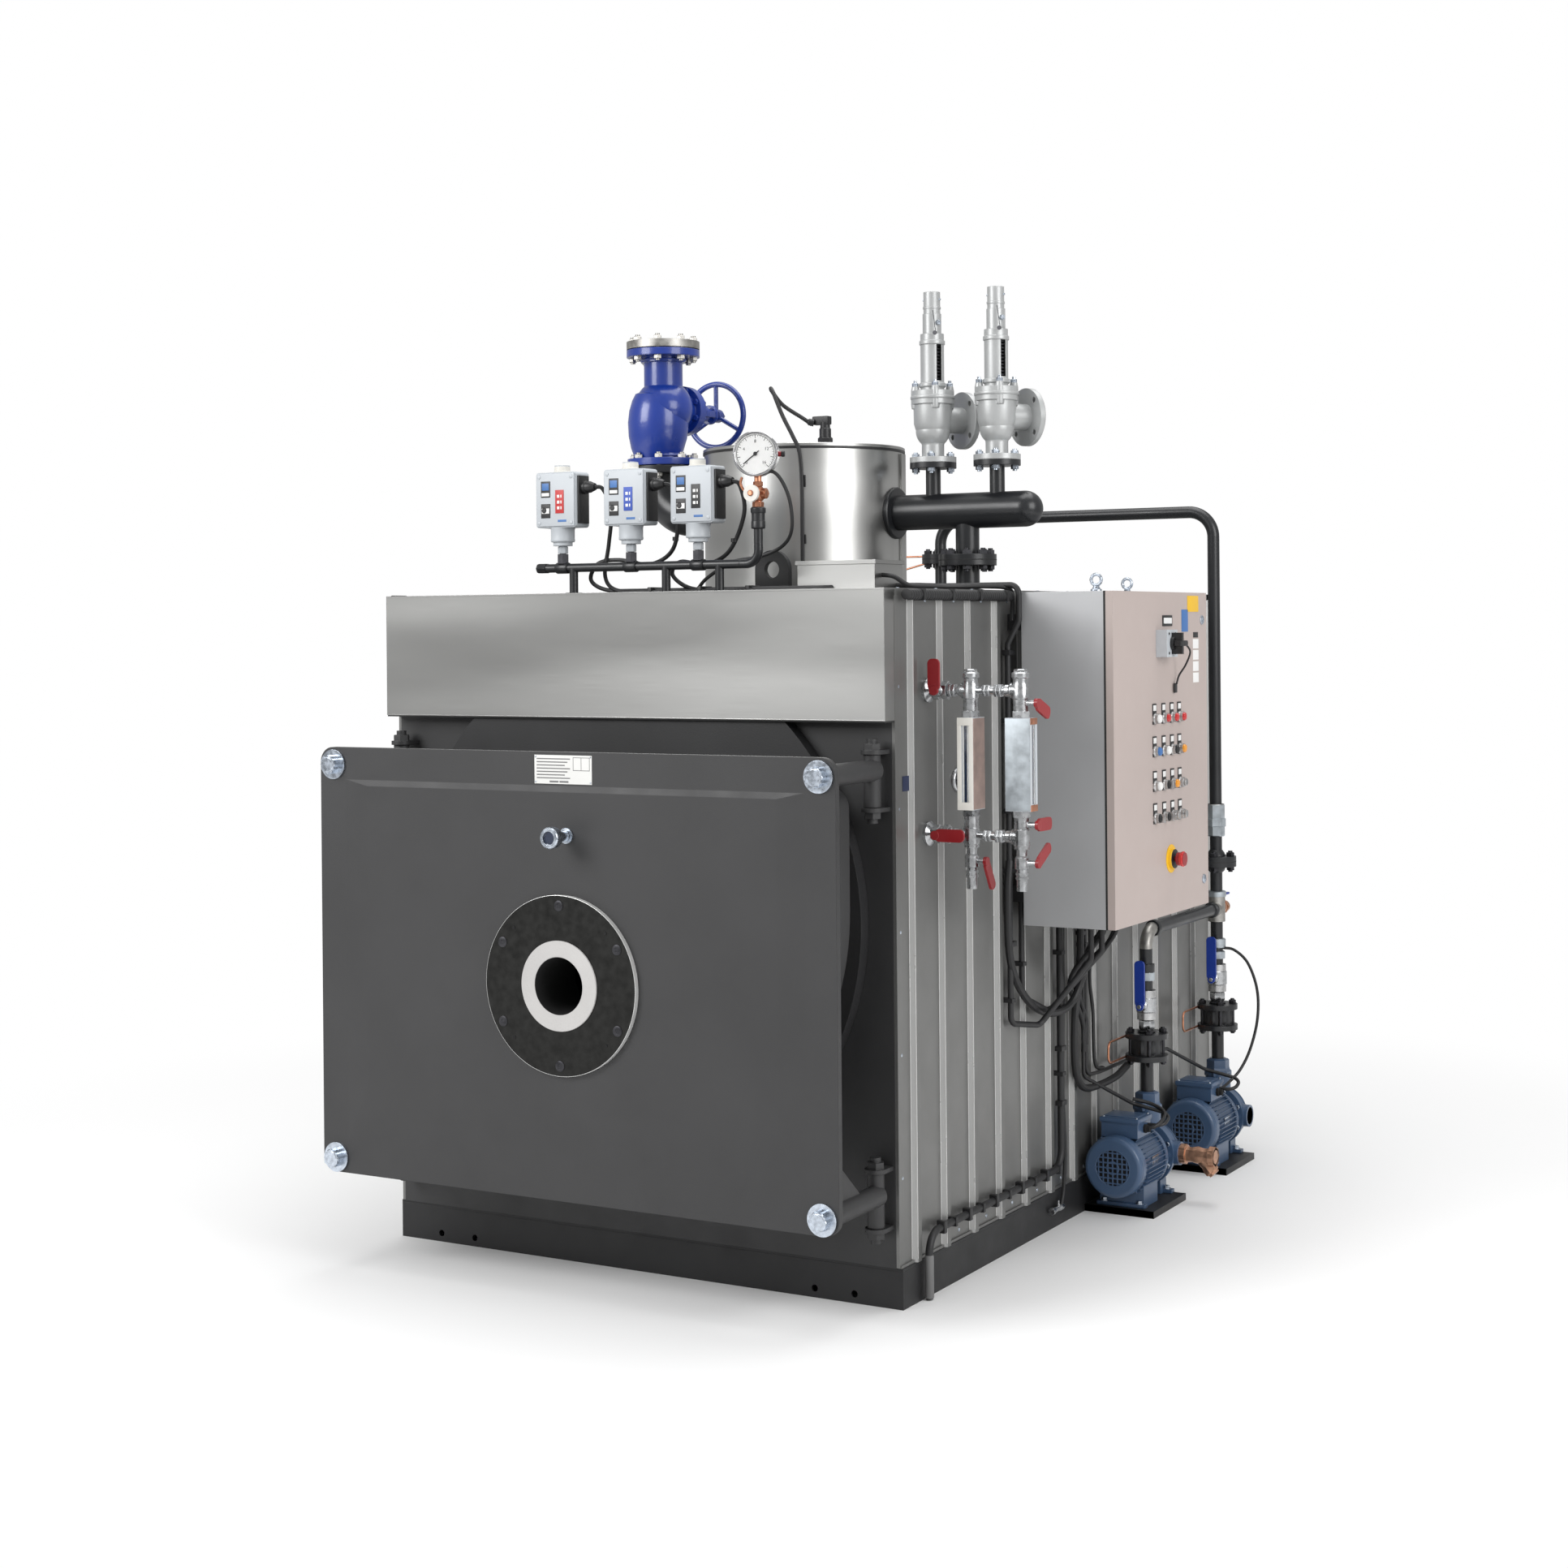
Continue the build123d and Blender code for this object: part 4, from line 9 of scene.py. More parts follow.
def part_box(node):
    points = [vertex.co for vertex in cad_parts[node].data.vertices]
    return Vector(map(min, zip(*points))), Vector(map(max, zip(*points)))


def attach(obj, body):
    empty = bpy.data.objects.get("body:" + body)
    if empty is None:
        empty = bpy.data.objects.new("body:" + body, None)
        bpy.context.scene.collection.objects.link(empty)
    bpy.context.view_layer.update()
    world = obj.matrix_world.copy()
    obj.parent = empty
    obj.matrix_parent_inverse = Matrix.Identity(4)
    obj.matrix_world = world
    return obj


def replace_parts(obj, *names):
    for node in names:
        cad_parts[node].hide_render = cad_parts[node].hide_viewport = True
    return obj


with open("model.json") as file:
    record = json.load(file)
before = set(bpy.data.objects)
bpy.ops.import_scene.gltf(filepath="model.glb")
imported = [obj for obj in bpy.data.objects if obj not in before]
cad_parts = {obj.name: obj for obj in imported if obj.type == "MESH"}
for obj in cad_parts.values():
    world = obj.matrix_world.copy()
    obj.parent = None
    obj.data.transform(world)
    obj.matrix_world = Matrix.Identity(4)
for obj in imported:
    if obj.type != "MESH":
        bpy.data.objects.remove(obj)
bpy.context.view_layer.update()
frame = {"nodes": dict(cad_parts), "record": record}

# Horizontal steam boiler: finishes, fasteners, labels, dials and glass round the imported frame.
# The frame's axes: X to the boiler's right, Y from the burner to the flue, Z up.
# Shapes are given in millimetres from the middle of the base's front edge.

MM = 0.001
FRONT_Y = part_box("base_deck")[0].y
SHARP_ANGLE = math.radians(32)
RIGHT, LEFT, BACK, FRONT, UP, DOWN = (1, 0, 0), (-1, 0, 0), (0, 1, 0), (0, -1, 0), (0, 0, 1), (0, 0, -1)

# Places that several pieces share
SIDE, TOP, END = 866, 1993, 2520        # the casing's sides, top and back
PIPE_X, NEAR_Y, FAR_Y = 990, 1546, 2229        # the two feed pipes
DRUM_Y, SAFETY_Y, SWITCH_Y, PUMP_Z = 1040, 1060, 250, 157


def at(x, y, z):
    """Point in the frame's metres."""
    return Vector((x * MM, y * MM + FRONT_Y, z * MM))


# Mesh making

def frame_of(axis):
    """Two unit vectors square to an axis."""
    axis = Vector(axis).normalized()
    helper = Vector(UP) if abs(axis.z) < 0.9 else Vector(RIGHT)
    side = axis.cross(helper).normalized()
    return side, axis.cross(side).normalized()


def shifted(place, axis, distance):
    """Point at a distance from another along an axis."""
    way = Vector(axis).normalized()
    return tuple(place[i] + way[i] * distance for i in range(3))


def spots(centre, axis, radius, count, first=0.0):
    """Points on a circle round an axis, the first at an angle in degrees."""
    side, up = frame_of(axis)
    found = []
    for number in range(count):
        angle = math.radians(first) + 2 * math.pi * number / count
        way = side * math.cos(angle) + up * math.sin(angle)
        found.append(tuple(centre[i] + way[i] * radius for i in range(3)))
    return found


def skin(bm, loops, closed=False):
    """Faces between loops of vertices. A loop of one vertex is a point, and open ends get caps."""
    pairs = list(zip(loops, loops[1:]))
    if closed:
        pairs.append((loops[-1], loops[0]))
    for first, second in pairs:
        count = max(len(first), len(second))
        for number in range(count):
            after = (number + 1) % count
            corners = dict.fromkeys((first[number % len(first)], first[after % len(first)],
                                     second[after % len(second)], second[number % len(second)]))
            if len(corners) > 2:
                bm.faces.new(list(corners))
    for loop in () if closed else (loops[0], loops[-1]):
        if len(loop) > 2:
            bm.faces.new(loop)


def turned(bm, place, axis, profile, segments=32, turn=0.0):
    """Turned form: the profile holds (distance along the axis, radius), and ends where it starts for a hollow ring."""
    axis = Vector(axis).normalized()
    side, up = frame_of(axis)
    hollow = profile[0] == profile[-1]
    loops = []
    for along, radius in profile[:-1] if hollow else profile:
        centre = at(*place) + axis * (along * MM)
        angles = [turn + 2 * math.pi * number / segments for number in range(segments)] if radius > 0 else [0]
        loops.append([bm.verts.new(centre + (side * math.cos(angle) + up * math.sin(angle)) * (radius * MM))
                      for angle in angles])
    skin(bm, loops, hollow)


def stack(bm, x, y, *rows):
    """Turned forms on one upright line: each row holds its height, its segments and its profile."""
    for z, segments, *profile in rows:
        turned(bm, (x, y, z), UP, profile, segments)


def bar(bm, start, end, radius, segments=24):
    """Round bar between two points."""
    way = at(*end) - at(*start)
    turned(bm, start, way, [(0, radius), (way.length / MM, radius)], segments)


def hexa(bm, place, axis, flats, height, turn=0.0):
    """Hexagonal head or nut with chamfered corners."""
    corner = flats / math.sqrt(3)
    chamfer = flats * 0.06
    turned(bm, place, axis, [(0, corner), (height - chamfer, corner), (height, corner - chamfer)], 6, turn)


def slab(bm, x, y, z, bevel=0.0):
    """Box between two values on each axis, its edges rounded by the bevel."""
    low, high = at(x[0], y[0], z[0]), at(x[1], y[1], z[1])
    made = bmesh.ops.create_cube(bm, size=1.0)["verts"]
    for vert in made:
        vert.co = [low[i] + (vert.co[i] + 0.5) * (high[i] - low[i]) for i in range(3)]
    if bevel > 0:
        edges = {edge for vert in made for edge in vert.link_edges}
        bmesh.ops.bevel(bm, geom=list(edges), offset=bevel * MM, segments=2, affect="EDGES", profile=0.7)


def slabs(bm, *boxes):
    """Boxes, each given as for slab."""
    for box in boxes:
        slab(bm, *box)


def ring(bm, place, axis, major, minor, around=40, across=10):
    """Ring of round section."""
    axis = Vector(axis).normalized()
    side, up = frame_of(axis)
    loops = []
    for number in range(around):
        angle = 2 * math.pi * number / around
        way = side * math.cos(angle) + up * math.sin(angle)
        turns = [2 * math.pi * step / across for step in range(across)]
        loops.append([bm.verts.new(at(*place) + way * ((major + minor * math.cos(turn)) * MM)
                                   + axis * (minor * MM * math.sin(turn))) for turn in turns])
    skin(bm, loops, closed=True)


def plate(bm, points, normal, thickness):
    """Flat plate from an outline in metres, raised along its normal."""
    rise = Vector(normal).normalized() * thickness
    skin(bm, [[bm.verts.new(point + lift) for point in points] for lift in (Vector(), rise)])


def flange_bolts(bm, centre, axis, circle, count, joint, size, first=0.0):
    """Stud bolts with a nut at each end, through a joint of a given thickness."""
    axis = Vector(axis).normalized()
    flats = size * 1.55
    height = size * 0.85
    for low in spots(centre, axis, circle / 2, count, first):
        high = shifted(low, axis, joint)
        bar(bm, shifted(low, axis, -height * 1.4), shifted(high, axis, height * 1.4), size / 2, 12)
        hexa(bm, high, axis, flats, height, first)
        hexa(bm, low, -axis, flats, height, first)


def pan_heads(bm, places, axis, radius, height=2.0):
    """Low round screw heads."""
    for place in places:
        turned(bm, place, axis, [(0, radius), (height * 0.5, radius * 0.92), (height, radius * 0.5), (height, 0)], 16)


def cable(bm, points, radius, sides=10, steps=8):
    """Bent cable through the points, smooth all along."""
    path = [at(*point) for point in points]
    path = [path[0] * 2 - path[1]] + path + [path[-1] * 2 - path[-2]]
    line = []
    for a, b, c, d in zip(path, path[1:], path[2:], path[3:]):
        for step in range(steps):
            t = step / steps
            line.append(0.5 * (2 * b + (c - a) * t + (2 * a - 5 * b + 4 * c - d) * t ** 2
                               + (3 * b - a - 3 * c + d) * t ** 3))
    line.append(path[-2])
    side = frame_of(line[1] - line[0])[0]
    loops = []
    for number, middle in enumerate(line):
        way = (line[min(number + 1, len(line) - 1)] - line[max(number - 1, 0)]).normalized()
        side = (side - way * side.dot(way)).normalized()
        up = way.cross(side)
        turns = [2 * math.pi * k / sides for k in range(sides)]
        loops.append([bm.verts.new(middle + (side * math.cos(turn) + up * math.sin(turn)) * radius * MM)
                      for turn in turns])
    skin(bm, loops)


def piece(name, bm, finish, body="root"):
    """Finish a mesh as one piece that rides on a body."""
    bmesh.ops.recalc_face_normals(bm, faces=bm.faces)
    for face in bm.faces:
        face.smooth = True
    for edge in bm.edges:
        if len(edge.link_faces) == 2 and edge.calc_face_angle(0) > SHARP_ANGLE:
            edge.smooth = False
    mesh = bpy.data.meshes.new(name)
    bm.to_mesh(mesh)
    bm.free()
    made = bpy.data.objects.new(name, mesh)
    bpy.context.scene.collection.objects.link(made)
    mesh.materials.append(FINISH[finish])
    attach(made, body)
    return made


def single(name, finish, maker, *values, body="root", slot=None):
    """Piece of one shape."""
    bm = bmesh.new()
    maker(bm, *values)
    return piece(name, bm, finish, body)


def everywhere(x, y, z, way):
    """Test that every face passes."""
    return True


def repaint(node, finish, test):
    """Give part of a CAD node another finish: the test takes a face's middle in millimetres, and its direction."""
    made = frame["nodes"][node]
    made.data.materials.append(FINISH[finish])
    index = len(made.data.materials) - 1
    for face in made.data.polygons:
        middle = face.center
        if test(middle.x / MM, (middle.y - FRONT_Y) / MM, middle.z / MM, face.normal):
            face.material_index = index


# Materials

NOISE_LOW, NOISE_HIGH = 0.3, 0.7        # where most of a noise's values lie


def add_node(tree, kind, **sockets):
    """New shader node: each socket named takes a value, or a link where the value is another node's output."""
    node = tree.nodes.new("ShaderNode" + kind)
    for name, value in sockets.items():
        socket = node.inputs[name.replace("_", " ")]
        if isinstance(value, bpy.types.NodeSocket):
            tree.links.new(value, socket)
        else:
            socket.default_value = value
    return node


def shader_of(name, colour, roughness, metallic=0.0, coat=0.0):
    """New material with its plain values set on the shader."""
    material = bpy.data.materials.new(name)
    material.use_nodes = True
    shader = material.node_tree.nodes["Principled BSDF"]
    for socket, value in (("Base Color", (*colour, 1)), ("Roughness", roughness), ("Metallic", metallic),
                          ("Coat Weight", coat), ("Coat Roughness", 0.12)):
        shader.inputs[socket].default_value = value
    return material, material.node_tree, shader


def noise_of(tree, scale, detail, stretch=(1, 1, 1), turn=(0, 0, 0)):
    """Noise in the object's own coordinates, in metres."""
    place = add_node(tree, "TexCoord").outputs["Object"]
    mapping = add_node(tree, "Mapping", Vector=place, Scale=stretch, Rotation=turn)
    return add_node(tree, "TexNoise", Vector=mapping.outputs["Vector"], Scale=scale, Detail=detail).outputs["Fac"]


def colour_by(tree, shader, factor, colour, low, high, start=NOISE_LOW, end=NOISE_HIGH):
    """Shader's colour from a darker to a lighter form over a factor."""
    ramp = add_node(tree, "ValToRGB", Fac=factor)
    for element, place, level in zip(ramp.color_ramp.elements, (start, end), (low, high)):
        element.position = place
        element.color = (*(min(1.0, value * level) for value in colour), 1)
    tree.links.new(ramp.outputs["Color"], shader.inputs["Base Color"])


def roughness_by(tree, shader, factor, low, high):
    """Shader's roughness between two values over a factor."""
    node = add_node(tree, "MapRange", Value=factor, From_Min=NOISE_LOW, From_Max=NOISE_HIGH,
                    To_Min=low, To_Max=high)
    tree.links.new(node.outputs["Result"], shader.inputs["Roughness"])


def surface_by(tree, shader, height, strength, depth, edge):
    """Shader's normal bumped by a height, over edges rounded by a radius; depth and radius in millimetres."""
    bevel = add_node(tree, "Bevel", Radius=edge * MM)
    bevel.samples = 6
    bump = add_node(tree, "Bump", Strength=strength, Distance=depth * MM, Height=height, Normal=bevel.outputs["Normal"])
    tree.links.new(bump.outputs["Normal"], shader.inputs["Normal"])


def painted(name, colour, roughness, peel, depth, spread, edge, metallic=0.0, coat=0.0):
    """Paint with a fine orange-peel surface, slight colour variation and rounded edges."""
    material, tree, shader = shader_of(name, colour, roughness, metallic, coat)
    colour_by(tree, shader, noise_of(tree, 3.0, 5.0), colour, 1 - spread, 1 + spread)
    roughness_by(tree, shader, noise_of(tree, 9.0, 4.0), roughness - 0.05, roughness + 0.07)
    surface_by(tree, shader, noise_of(tree, peel, 2.0), 0.6, depth, edge)
    return material


def metal(name, colour, roughness, spread, grain):
    """Bare or plated metal with fine mottling."""
    material, tree, shader = shader_of(name, colour, roughness, 1.0)
    mottle = noise_of(tree, grain, 4.0)
    colour_by(tree, shader, mottle, colour, 1 - spread, 1 + spread)
    roughness_by(tree, shader, mottle, roughness - 0.06, roughness + 0.1)
    surface_by(tree, shader, noise_of(tree, grain * 4, 2.0), 0.15, 0.2, 1.2)
    return material


def sheet_steel(name, colour, roughness):
    """Brushed stainless sheet: fine grain along the sheet, and soft slanting bands of painted reflection, lighter and
    darker, in its colour.
    """
    material, tree, shader = shader_of(name, colour, roughness, 1.0)
    # Painted reflection: slanting bands that lighten and darken the stainless colour.
    painted_reflection_bands = noise_of(tree, 1.1, 1.5, (0.35, 0.35, 2.6), (0, math.radians(24), 0))
    colour_by(tree, shader, painted_reflection_bands, colour, 0.62, 1.25, 0.4, 0.6)
    grain = noise_of(tree, 40.0, 3.0, (0.15, 0.15, 12))
    roughness_by(tree, shader, grain, roughness - 0.015, roughness + 0.02)
    surface_by(tree, shader, grain, 0.02, 0.02, 1.0)
    return material


def clear_glass(name):
    """Thin clear glass."""
    material, tree, shader = shader_of(name, (1, 1, 1), 0.03)
    shader.inputs["Transmission Weight"].default_value = 1.0
    shader.inputs["IOR"].default_value = 1.2
    return material


# Paints: colour, roughness, scale and depth of the orange peel, spread of colour, edge radius, metallic, coat
PAINTS = {
    "anthracite": ((0.031, 0.031, 0.032), 0.5, 420, 0.35, 0.1, 3),
    "frame_black": ((0.012, 0.012, 0.013), 0.5, 300, 0.3, 0.14, 2),
    "cladding": ((0.19, 0.19, 0.185), 0.36, 220, 0.12, 0.05, 1, 0.6),
    # Painted highlight: a lighter shade for the rib flanks that face the lamps.
    "painted_lit_flank": ((0.34, 0.34, 0.335), 0.36, 220, 0.12, 0.05, 1, 0.5),
    # Painted highlight: near-white for the bright lines on the rib edges and on the burner plate's rim.
    "painted_highlight": ((0.74, 0.74, 0.73), 0.3, 220, 0.1, 0.04, 1, 0.4),
    "refractory": ((0.5, 0.49, 0.48), 0.9, 160, 1.5, 0.1, 4),
    "black_pipe": ((0.014, 0.015, 0.017), 0.32, 260, 0.2, 0.2, 3),
    "valve_blue": ((0.006, 0.034, 0.27), 0.3, 110, 0.6, 0.2, 6, 0, 0.5),
    "switch_grey": ((0.5, 0.53, 0.56), 0.42, 260, 0.2, 0.05, 2),
    "safety_silver": ((0.46, 0.47, 0.47), 0.38, 130, 0.4, 0.1, 4, 0.35),
    "pump_blue": ((0.045, 0.085, 0.16), 0.38, 160, 0.4, 0.14, 3, 0, 0.25),
    "cabinet_grey": ((0.46, 0.465, 0.475), 0.36, 600, 0.12, 0.04, 2, 0.35),
    "plastic_black": ((0.012, 0.012, 0.013), 0.4, 500, 0.1, 0.1, 1),
    "lever_red": ((0.26, 0.008, 0.012), 0.38, 300, 0.1, 0.12, 2, 0, 0.2),
    "lever_blue": ((0.006, 0.035, 0.28), 0.38, 300, 0.1, 0.12, 2, 0, 0.2),
    "seal_rope": ((0.46, 0.44, 0.4), 0.95, 260, 2, 0.2, 4),
    # Painted shade: near-black for the tube plate and vessel seen in the gap beside the door.
    "painted_gap_shade": ((0.016, 0.016, 0.017), 0.5, 200, 0.3, 0.2, 2),
    "shadow": ((0.006, 0.006, 0.006), 0.9, 200, 0.1, 0.1, 1),
    "cable_black": ((0.012, 0.012, 0.013), 0.5, 300, 0.1, 0.15, 1),
    "cable_grey": ((0.014, 0.014, 0.015), 0.5, 300, 0.2, 0.15, 1),
    "conduit_grey": ((0.16, 0.16, 0.16), 0.6, 300, 0.2, 0.15, 1),
    "cabinet_rose": ((0.45, 0.38, 0.355), 0.42, 600, 0.15, 0.03, 2),
    "cream": ((0.72, 0.7, 0.65), 0.45, 300, 0.1, 0.05, 1),
    "plate_white": ((0.7, 0.7, 0.68), 0.4, 300, 0.05, 0.06, 0.5),
    "plate_blue": ((0.015, 0.022, 0.06), 0.4, 300, 0.1, 0.1, 0.5),
    "label_white": ((0.8, 0.8, 0.79), 0.4, 300, 0.03, 0.03, 0.4),
    "label_black": ((0.012, 0.012, 0.013), 0.4, 300, 0.03, 0.1, 0.4),
    "label_red": ((0.5, 0.02, 0.02), 0.4, 300, 0.03, 0.08, 0.4),
    "label_blue": ((0.03, 0.08, 0.42), 0.4, 300, 0.03, 0.08, 0.4),
    "label_yellow": ((0.8, 0.48, 0.02), 0.4, 300, 0.03, 0.06, 0.4),
    "scale_blue": ((0.05, 0.16, 0.42), 0.4, 300, 0.03, 0.08, 0.4),
    "ink_grey": ((0.16, 0.16, 0.16), 0.6, 300, 0.03, 0.1, 0.2),
    "lamp_red": ((0.55, 0.012, 0.012), 0.22, 300, 0.03, 0.08, 1, 0, 0.6),
    "lamp_orange": ((0.78, 0.3, 0.01), 0.25, 300, 0.03, 0.08, 1, 0, 0.6),
    "lens": ((0.02, 0.03, 0.06), 0.12, 300, 0.02, 0.1, 1, 0, 1),
    "gasket": ((0.02, 0.02, 0.02), 0.8, 200, 0.2, 0.2, 1),
}
# Metals: colour, roughness, spread of colour, scale of the grain
METALS = {
    "vessel_steel": ((0.09, 0.08, 0.075), 0.6, 0.3, 12),
    "zinc": ((0.5, 0.55, 0.62), 0.26, 0.3, 70),
    "flange_steel": ((0.38, 0.37, 0.35), 0.4, 0.2, 40),
    "gauge_case": ((0.55, 0.55, 0.56), 0.16, 0.05, 60),
    "bronze": ((0.52, 0.3, 0.2), 0.42, 0.2, 60),
    "cock_chrome": ((0.46, 0.47, 0.48), 0.26, 0.16, 60),
    "dark_steel": ((0.055, 0.055, 0.06), 0.42, 0.25, 50),
    "nickel": ((0.5, 0.5, 0.5), 0.3, 0.2, 50),
    "galvanised": ((0.46, 0.5, 0.53), 0.42, 0.2, 30),
    "copper": ((0.62, 0.28, 0.17), 0.32, 0.2, 50),
    "burner_black": ((0.03, 0.03, 0.029), 0.42, 0.2, 40),
    "plate_rose": ((0.5, 0.38, 0.34), 0.42, 0.15, 30),
}


def make_materials():
    """All finishes by name."""
    made = {name: painted(name, *values) for name, values in PAINTS.items()}
    made.update({name: metal(name, *values) for name, values in METALS.items()})
    made["stainless"] = sheet_steel("stainless", (0.43, 0.43, 0.42), 0.3)
    made["glass"] = clear_glass("glass")
    return made


def dress_nodes():
    """Give every CAD node the finish that its record slot names."""
    for entry in frame["record"]["subparts"]:
        node = frame["nodes"][entry["node"]]
        node.data.materials.clear()
        node.data.materials.append(FINISH[entry["material_slot"]])


# Top of the boiler

def dress_steam_valve():
    """Stud bolts, bonnet, yoke, bowl and wheel nut of the stop valve."""
    x, y, stem = -550, DRUM_Y, 2640
    bm = bmesh.new()
    flange_bolts(bm, (x, y, 2415), UP, 210, 8, 51, 16, 22.5)
    flange_bolts(bm, (x, y, 2814), UP, 210, 8, 53, 16, 22.5)
    piece("steam_valve_studs", bm, "flange_steel")
    bm = bmesh.new()
    for place in spots((x, 1180, stem), BACK, 72, 8, 22.5):
        bar(bm, place, shifted(place, BACK, 20), 6, 12)
        hexa(bm, place, BACK, 19, 11)
        hexa(bm, shifted(place, BACK, -36), FRONT, 19, 9)
    turned(bm, (x, 1252, stem), BACK, [(0, 34), (12, 34), (16, 30), (44, 30), (48, 26)])
    for side in (-1, 1):
        slab(bm, (x + side * 26 - 5, x + side * 26 + 5), (1180, 1345), (stem - 12, stem + 12), 2)
    turned(bm, (x, 1330, stem), BACK, [(0, 32), (4, 34), (16, 34), (20, 30)])
    hexa(bm, (x, 1400, stem), BACK, 36, 14)
    for z in (2476, 2804):
        turned(bm, (x, y, z - 3), UP, [(0, 79), (3, 81), (6, 79)], 40)
    turned(bm, (x - 22, y - 12, 2438), (0.05, 0, 1), [(0, 70), (28, 76), (62, 90), (104, 100), (150, 104), (190, 101),
                                                      (226, 92), (248, 82), (252, 74)], 56)
    piece("steam_valve_trim", bm, "valve_blue")


SAFETY_X = (466, 692)
SWITCH_X = (-420, -166, 76)
OUTLET_WAY = Vector((math.cos(math.radians(58)), math.sin(math.radians(58)), 0))


def dress_safety_valves():
    """Bolts, coil springs, seals and cap pins of the safety valves."""
    bolts = bmesh.new()
    coils = bmesh.new()
    trim = bmesh.new()
    face = Vector((math.sin(math.radians(62)), -math.cos(math.radians(62)), 0))
    for x in SAFETY_X:
        flange_bolts(bolts, (x, SAFETY_Y, 2394), UP, 112, 4, 36, 14, 20)
        for place in spots((x, SAFETY_Y, 2622), UP, 56, 4, 35):
            turned(trim, (place[0], place[1], 2586), UP, [(0, 12), (14, 14), (58, 14), (72, 11)], 16)
            hexa(bolts, (place[0], place[1], 2658), UP, 18, 11)
            bar(bolts, (place[0], place[1], 2660), (place[0], place[1], 2677), 5.5, 10)
        turned(trim, (x, SAFETY_Y, 2617), UP, [(0, 70.5), (2, 71.5), (8, 71.5), (10, 70.5)], 48)
        for number in range(11):
            ring(coils, (x, SAFETY_Y, 2682 + number * 10.6), UP, 30, 3.6, 32, 8)
        stack(trim, x, SAFETY_Y, (2792, 40, (0, 40), (2, 41.5), (12, 41.5), (14, 40)),
              (2655, 40, (0, 41), (3, 44), (12, 44), (15, 41)))
        bar(bolts, (x - 31, SAFETY_Y, 2938), (x + 31, SAFETY_Y, 2938), 3.5, 10)
        hexa(bolts, (x + 30 * face.x, SAFETY_Y + 30 * face.y, 2862), face, 15, 9)
        stack(trim, x, SAFETY_Y, (2806, 32, (0, 38), (8, 36), (16, 28), (94, 27), (98, 24), (114, 24), (118, 20),
                                  (148, 19), (152, 14), (152, 0)), (2906, 12, (0, 26), (2, 29), (9, 29), (11, 26)),
              (2440, 48, (0, 34), (30, 36), (56, 43), (78, 55), (98, 61), (150, 62), (174, 61), (178, 56)))
        start = shifted((x, SAFETY_Y, 2552), OUTLET_WAY, 125)
        for place in spots(start, OUTLET_WAY, 72, 4, 45):
            hexa(coils, place, OUTLET_WAY, 19, 10)
        turned(trim, start, OUTLET_WAY, [(-2, 64), (1.5, 64), (1.5, 34), (-2, 34)], 48)
        bar(coils, (x + 20, 1026, 2900), (x + 33, 1018, 2834), 1.2, 8)
        turned(coils, (x + 33, 1015, 2826), FRONT, [(0, 7), (3, 7)], 16)
    piece("safety_valve_bolts", bolts, "zinc")
    piece("safety_valve_springs", coils, "dark_steel")
    piece("safety_valve_trim", trim, "safety_silver")

    def in_slot(x, y, z, way):
        return any(math.hypot(x - valve, y - SAFETY_Y) < 37 and abs(z - 2735.5) <= 60.4 for valve in SAFETY_X)
    repaint("safety_valves", "shadow", in_slot)


def dress_black_flanges():
    """Bolts, gaskets and collars of the black pipes."""
    bm = bmesh.new()
    flange_bolts(bm, (586, SAFETY_Y, 2079), UP, 145, 8, 36, 16, 22.5)
    flange_bolts(bm, (-82, FAR_Y, 2121), UP, 100, 4, 36, 16, 45)
    flange_bolts(bm, (PIPE_X, FAR_Y, 1030), UP, 100, 4, 36, 16, 10)
    for y in (NEAR_Y, FAR_Y):
        flange_bolts(bm, (PIPE_X, y, 455), UP, 106, 4, 90, 14, 30)
    piece("black_flange_bolts", bm, "dark_steel")
    bm = bmesh.new()
    for place, radius in (((586, SAFETY_Y, 2095.5), 93), ((-82, FAR_Y, 2137.5), 70.4), ((PIPE_X, FAR_Y, 1046.5), 70.4)):
        turned(bm, place, UP, [(0, radius), (3, radius)], 48)
    piece("flange_gaskets", bm, "gasket")
    bm = bmesh.new()
    turned(bm, (-514, SWITCH_Y, 2077), LEFT, [(-34, 17), (-6, 17), (-3, 15), (0, 15)], 6)
    for x in SWITCH_X:
        turned(bm, (x - 22, SWITCH_Y, 2077), RIGHT, [(0, 16.5), (2, 17.5), (42, 17.5), (44, 16.5)], 28)
    for x in (-380, -40, 150):
        turned(bm, (x, SWITCH_Y, TOP), UP, [(0, 28), (5, 28), (7, 25)], 28)
    stack(bm, 286, SWITCH_Y, (2180, 28, (0, 19), (3, 21.5), (20, 21.5), (23, 20.4)),
          (2226, 28, (0, 22), (4, 23), (14, 23), (18, 20)))
    turned(bm, (-330, DRUM_Y, 2270), LEFT, [(0, 96), (6, 96), (16, 72)], 48)
    turned(bm, (330, SAFETY_Y, 2255), RIGHT, [(-14, 84), (6, 84), (10, 80), (12, 60)], 48)
    turned(bm, (586, SAFETY_Y, TOP), UP, [(0, 62), (6, 62), (12, 42)], 40)
    turned(bm, (-82, FAR_Y, TOP), UP, [(0, 48), (6, 48), (12, 24)])
    piece("pipe_collars", bm, "black_pipe")


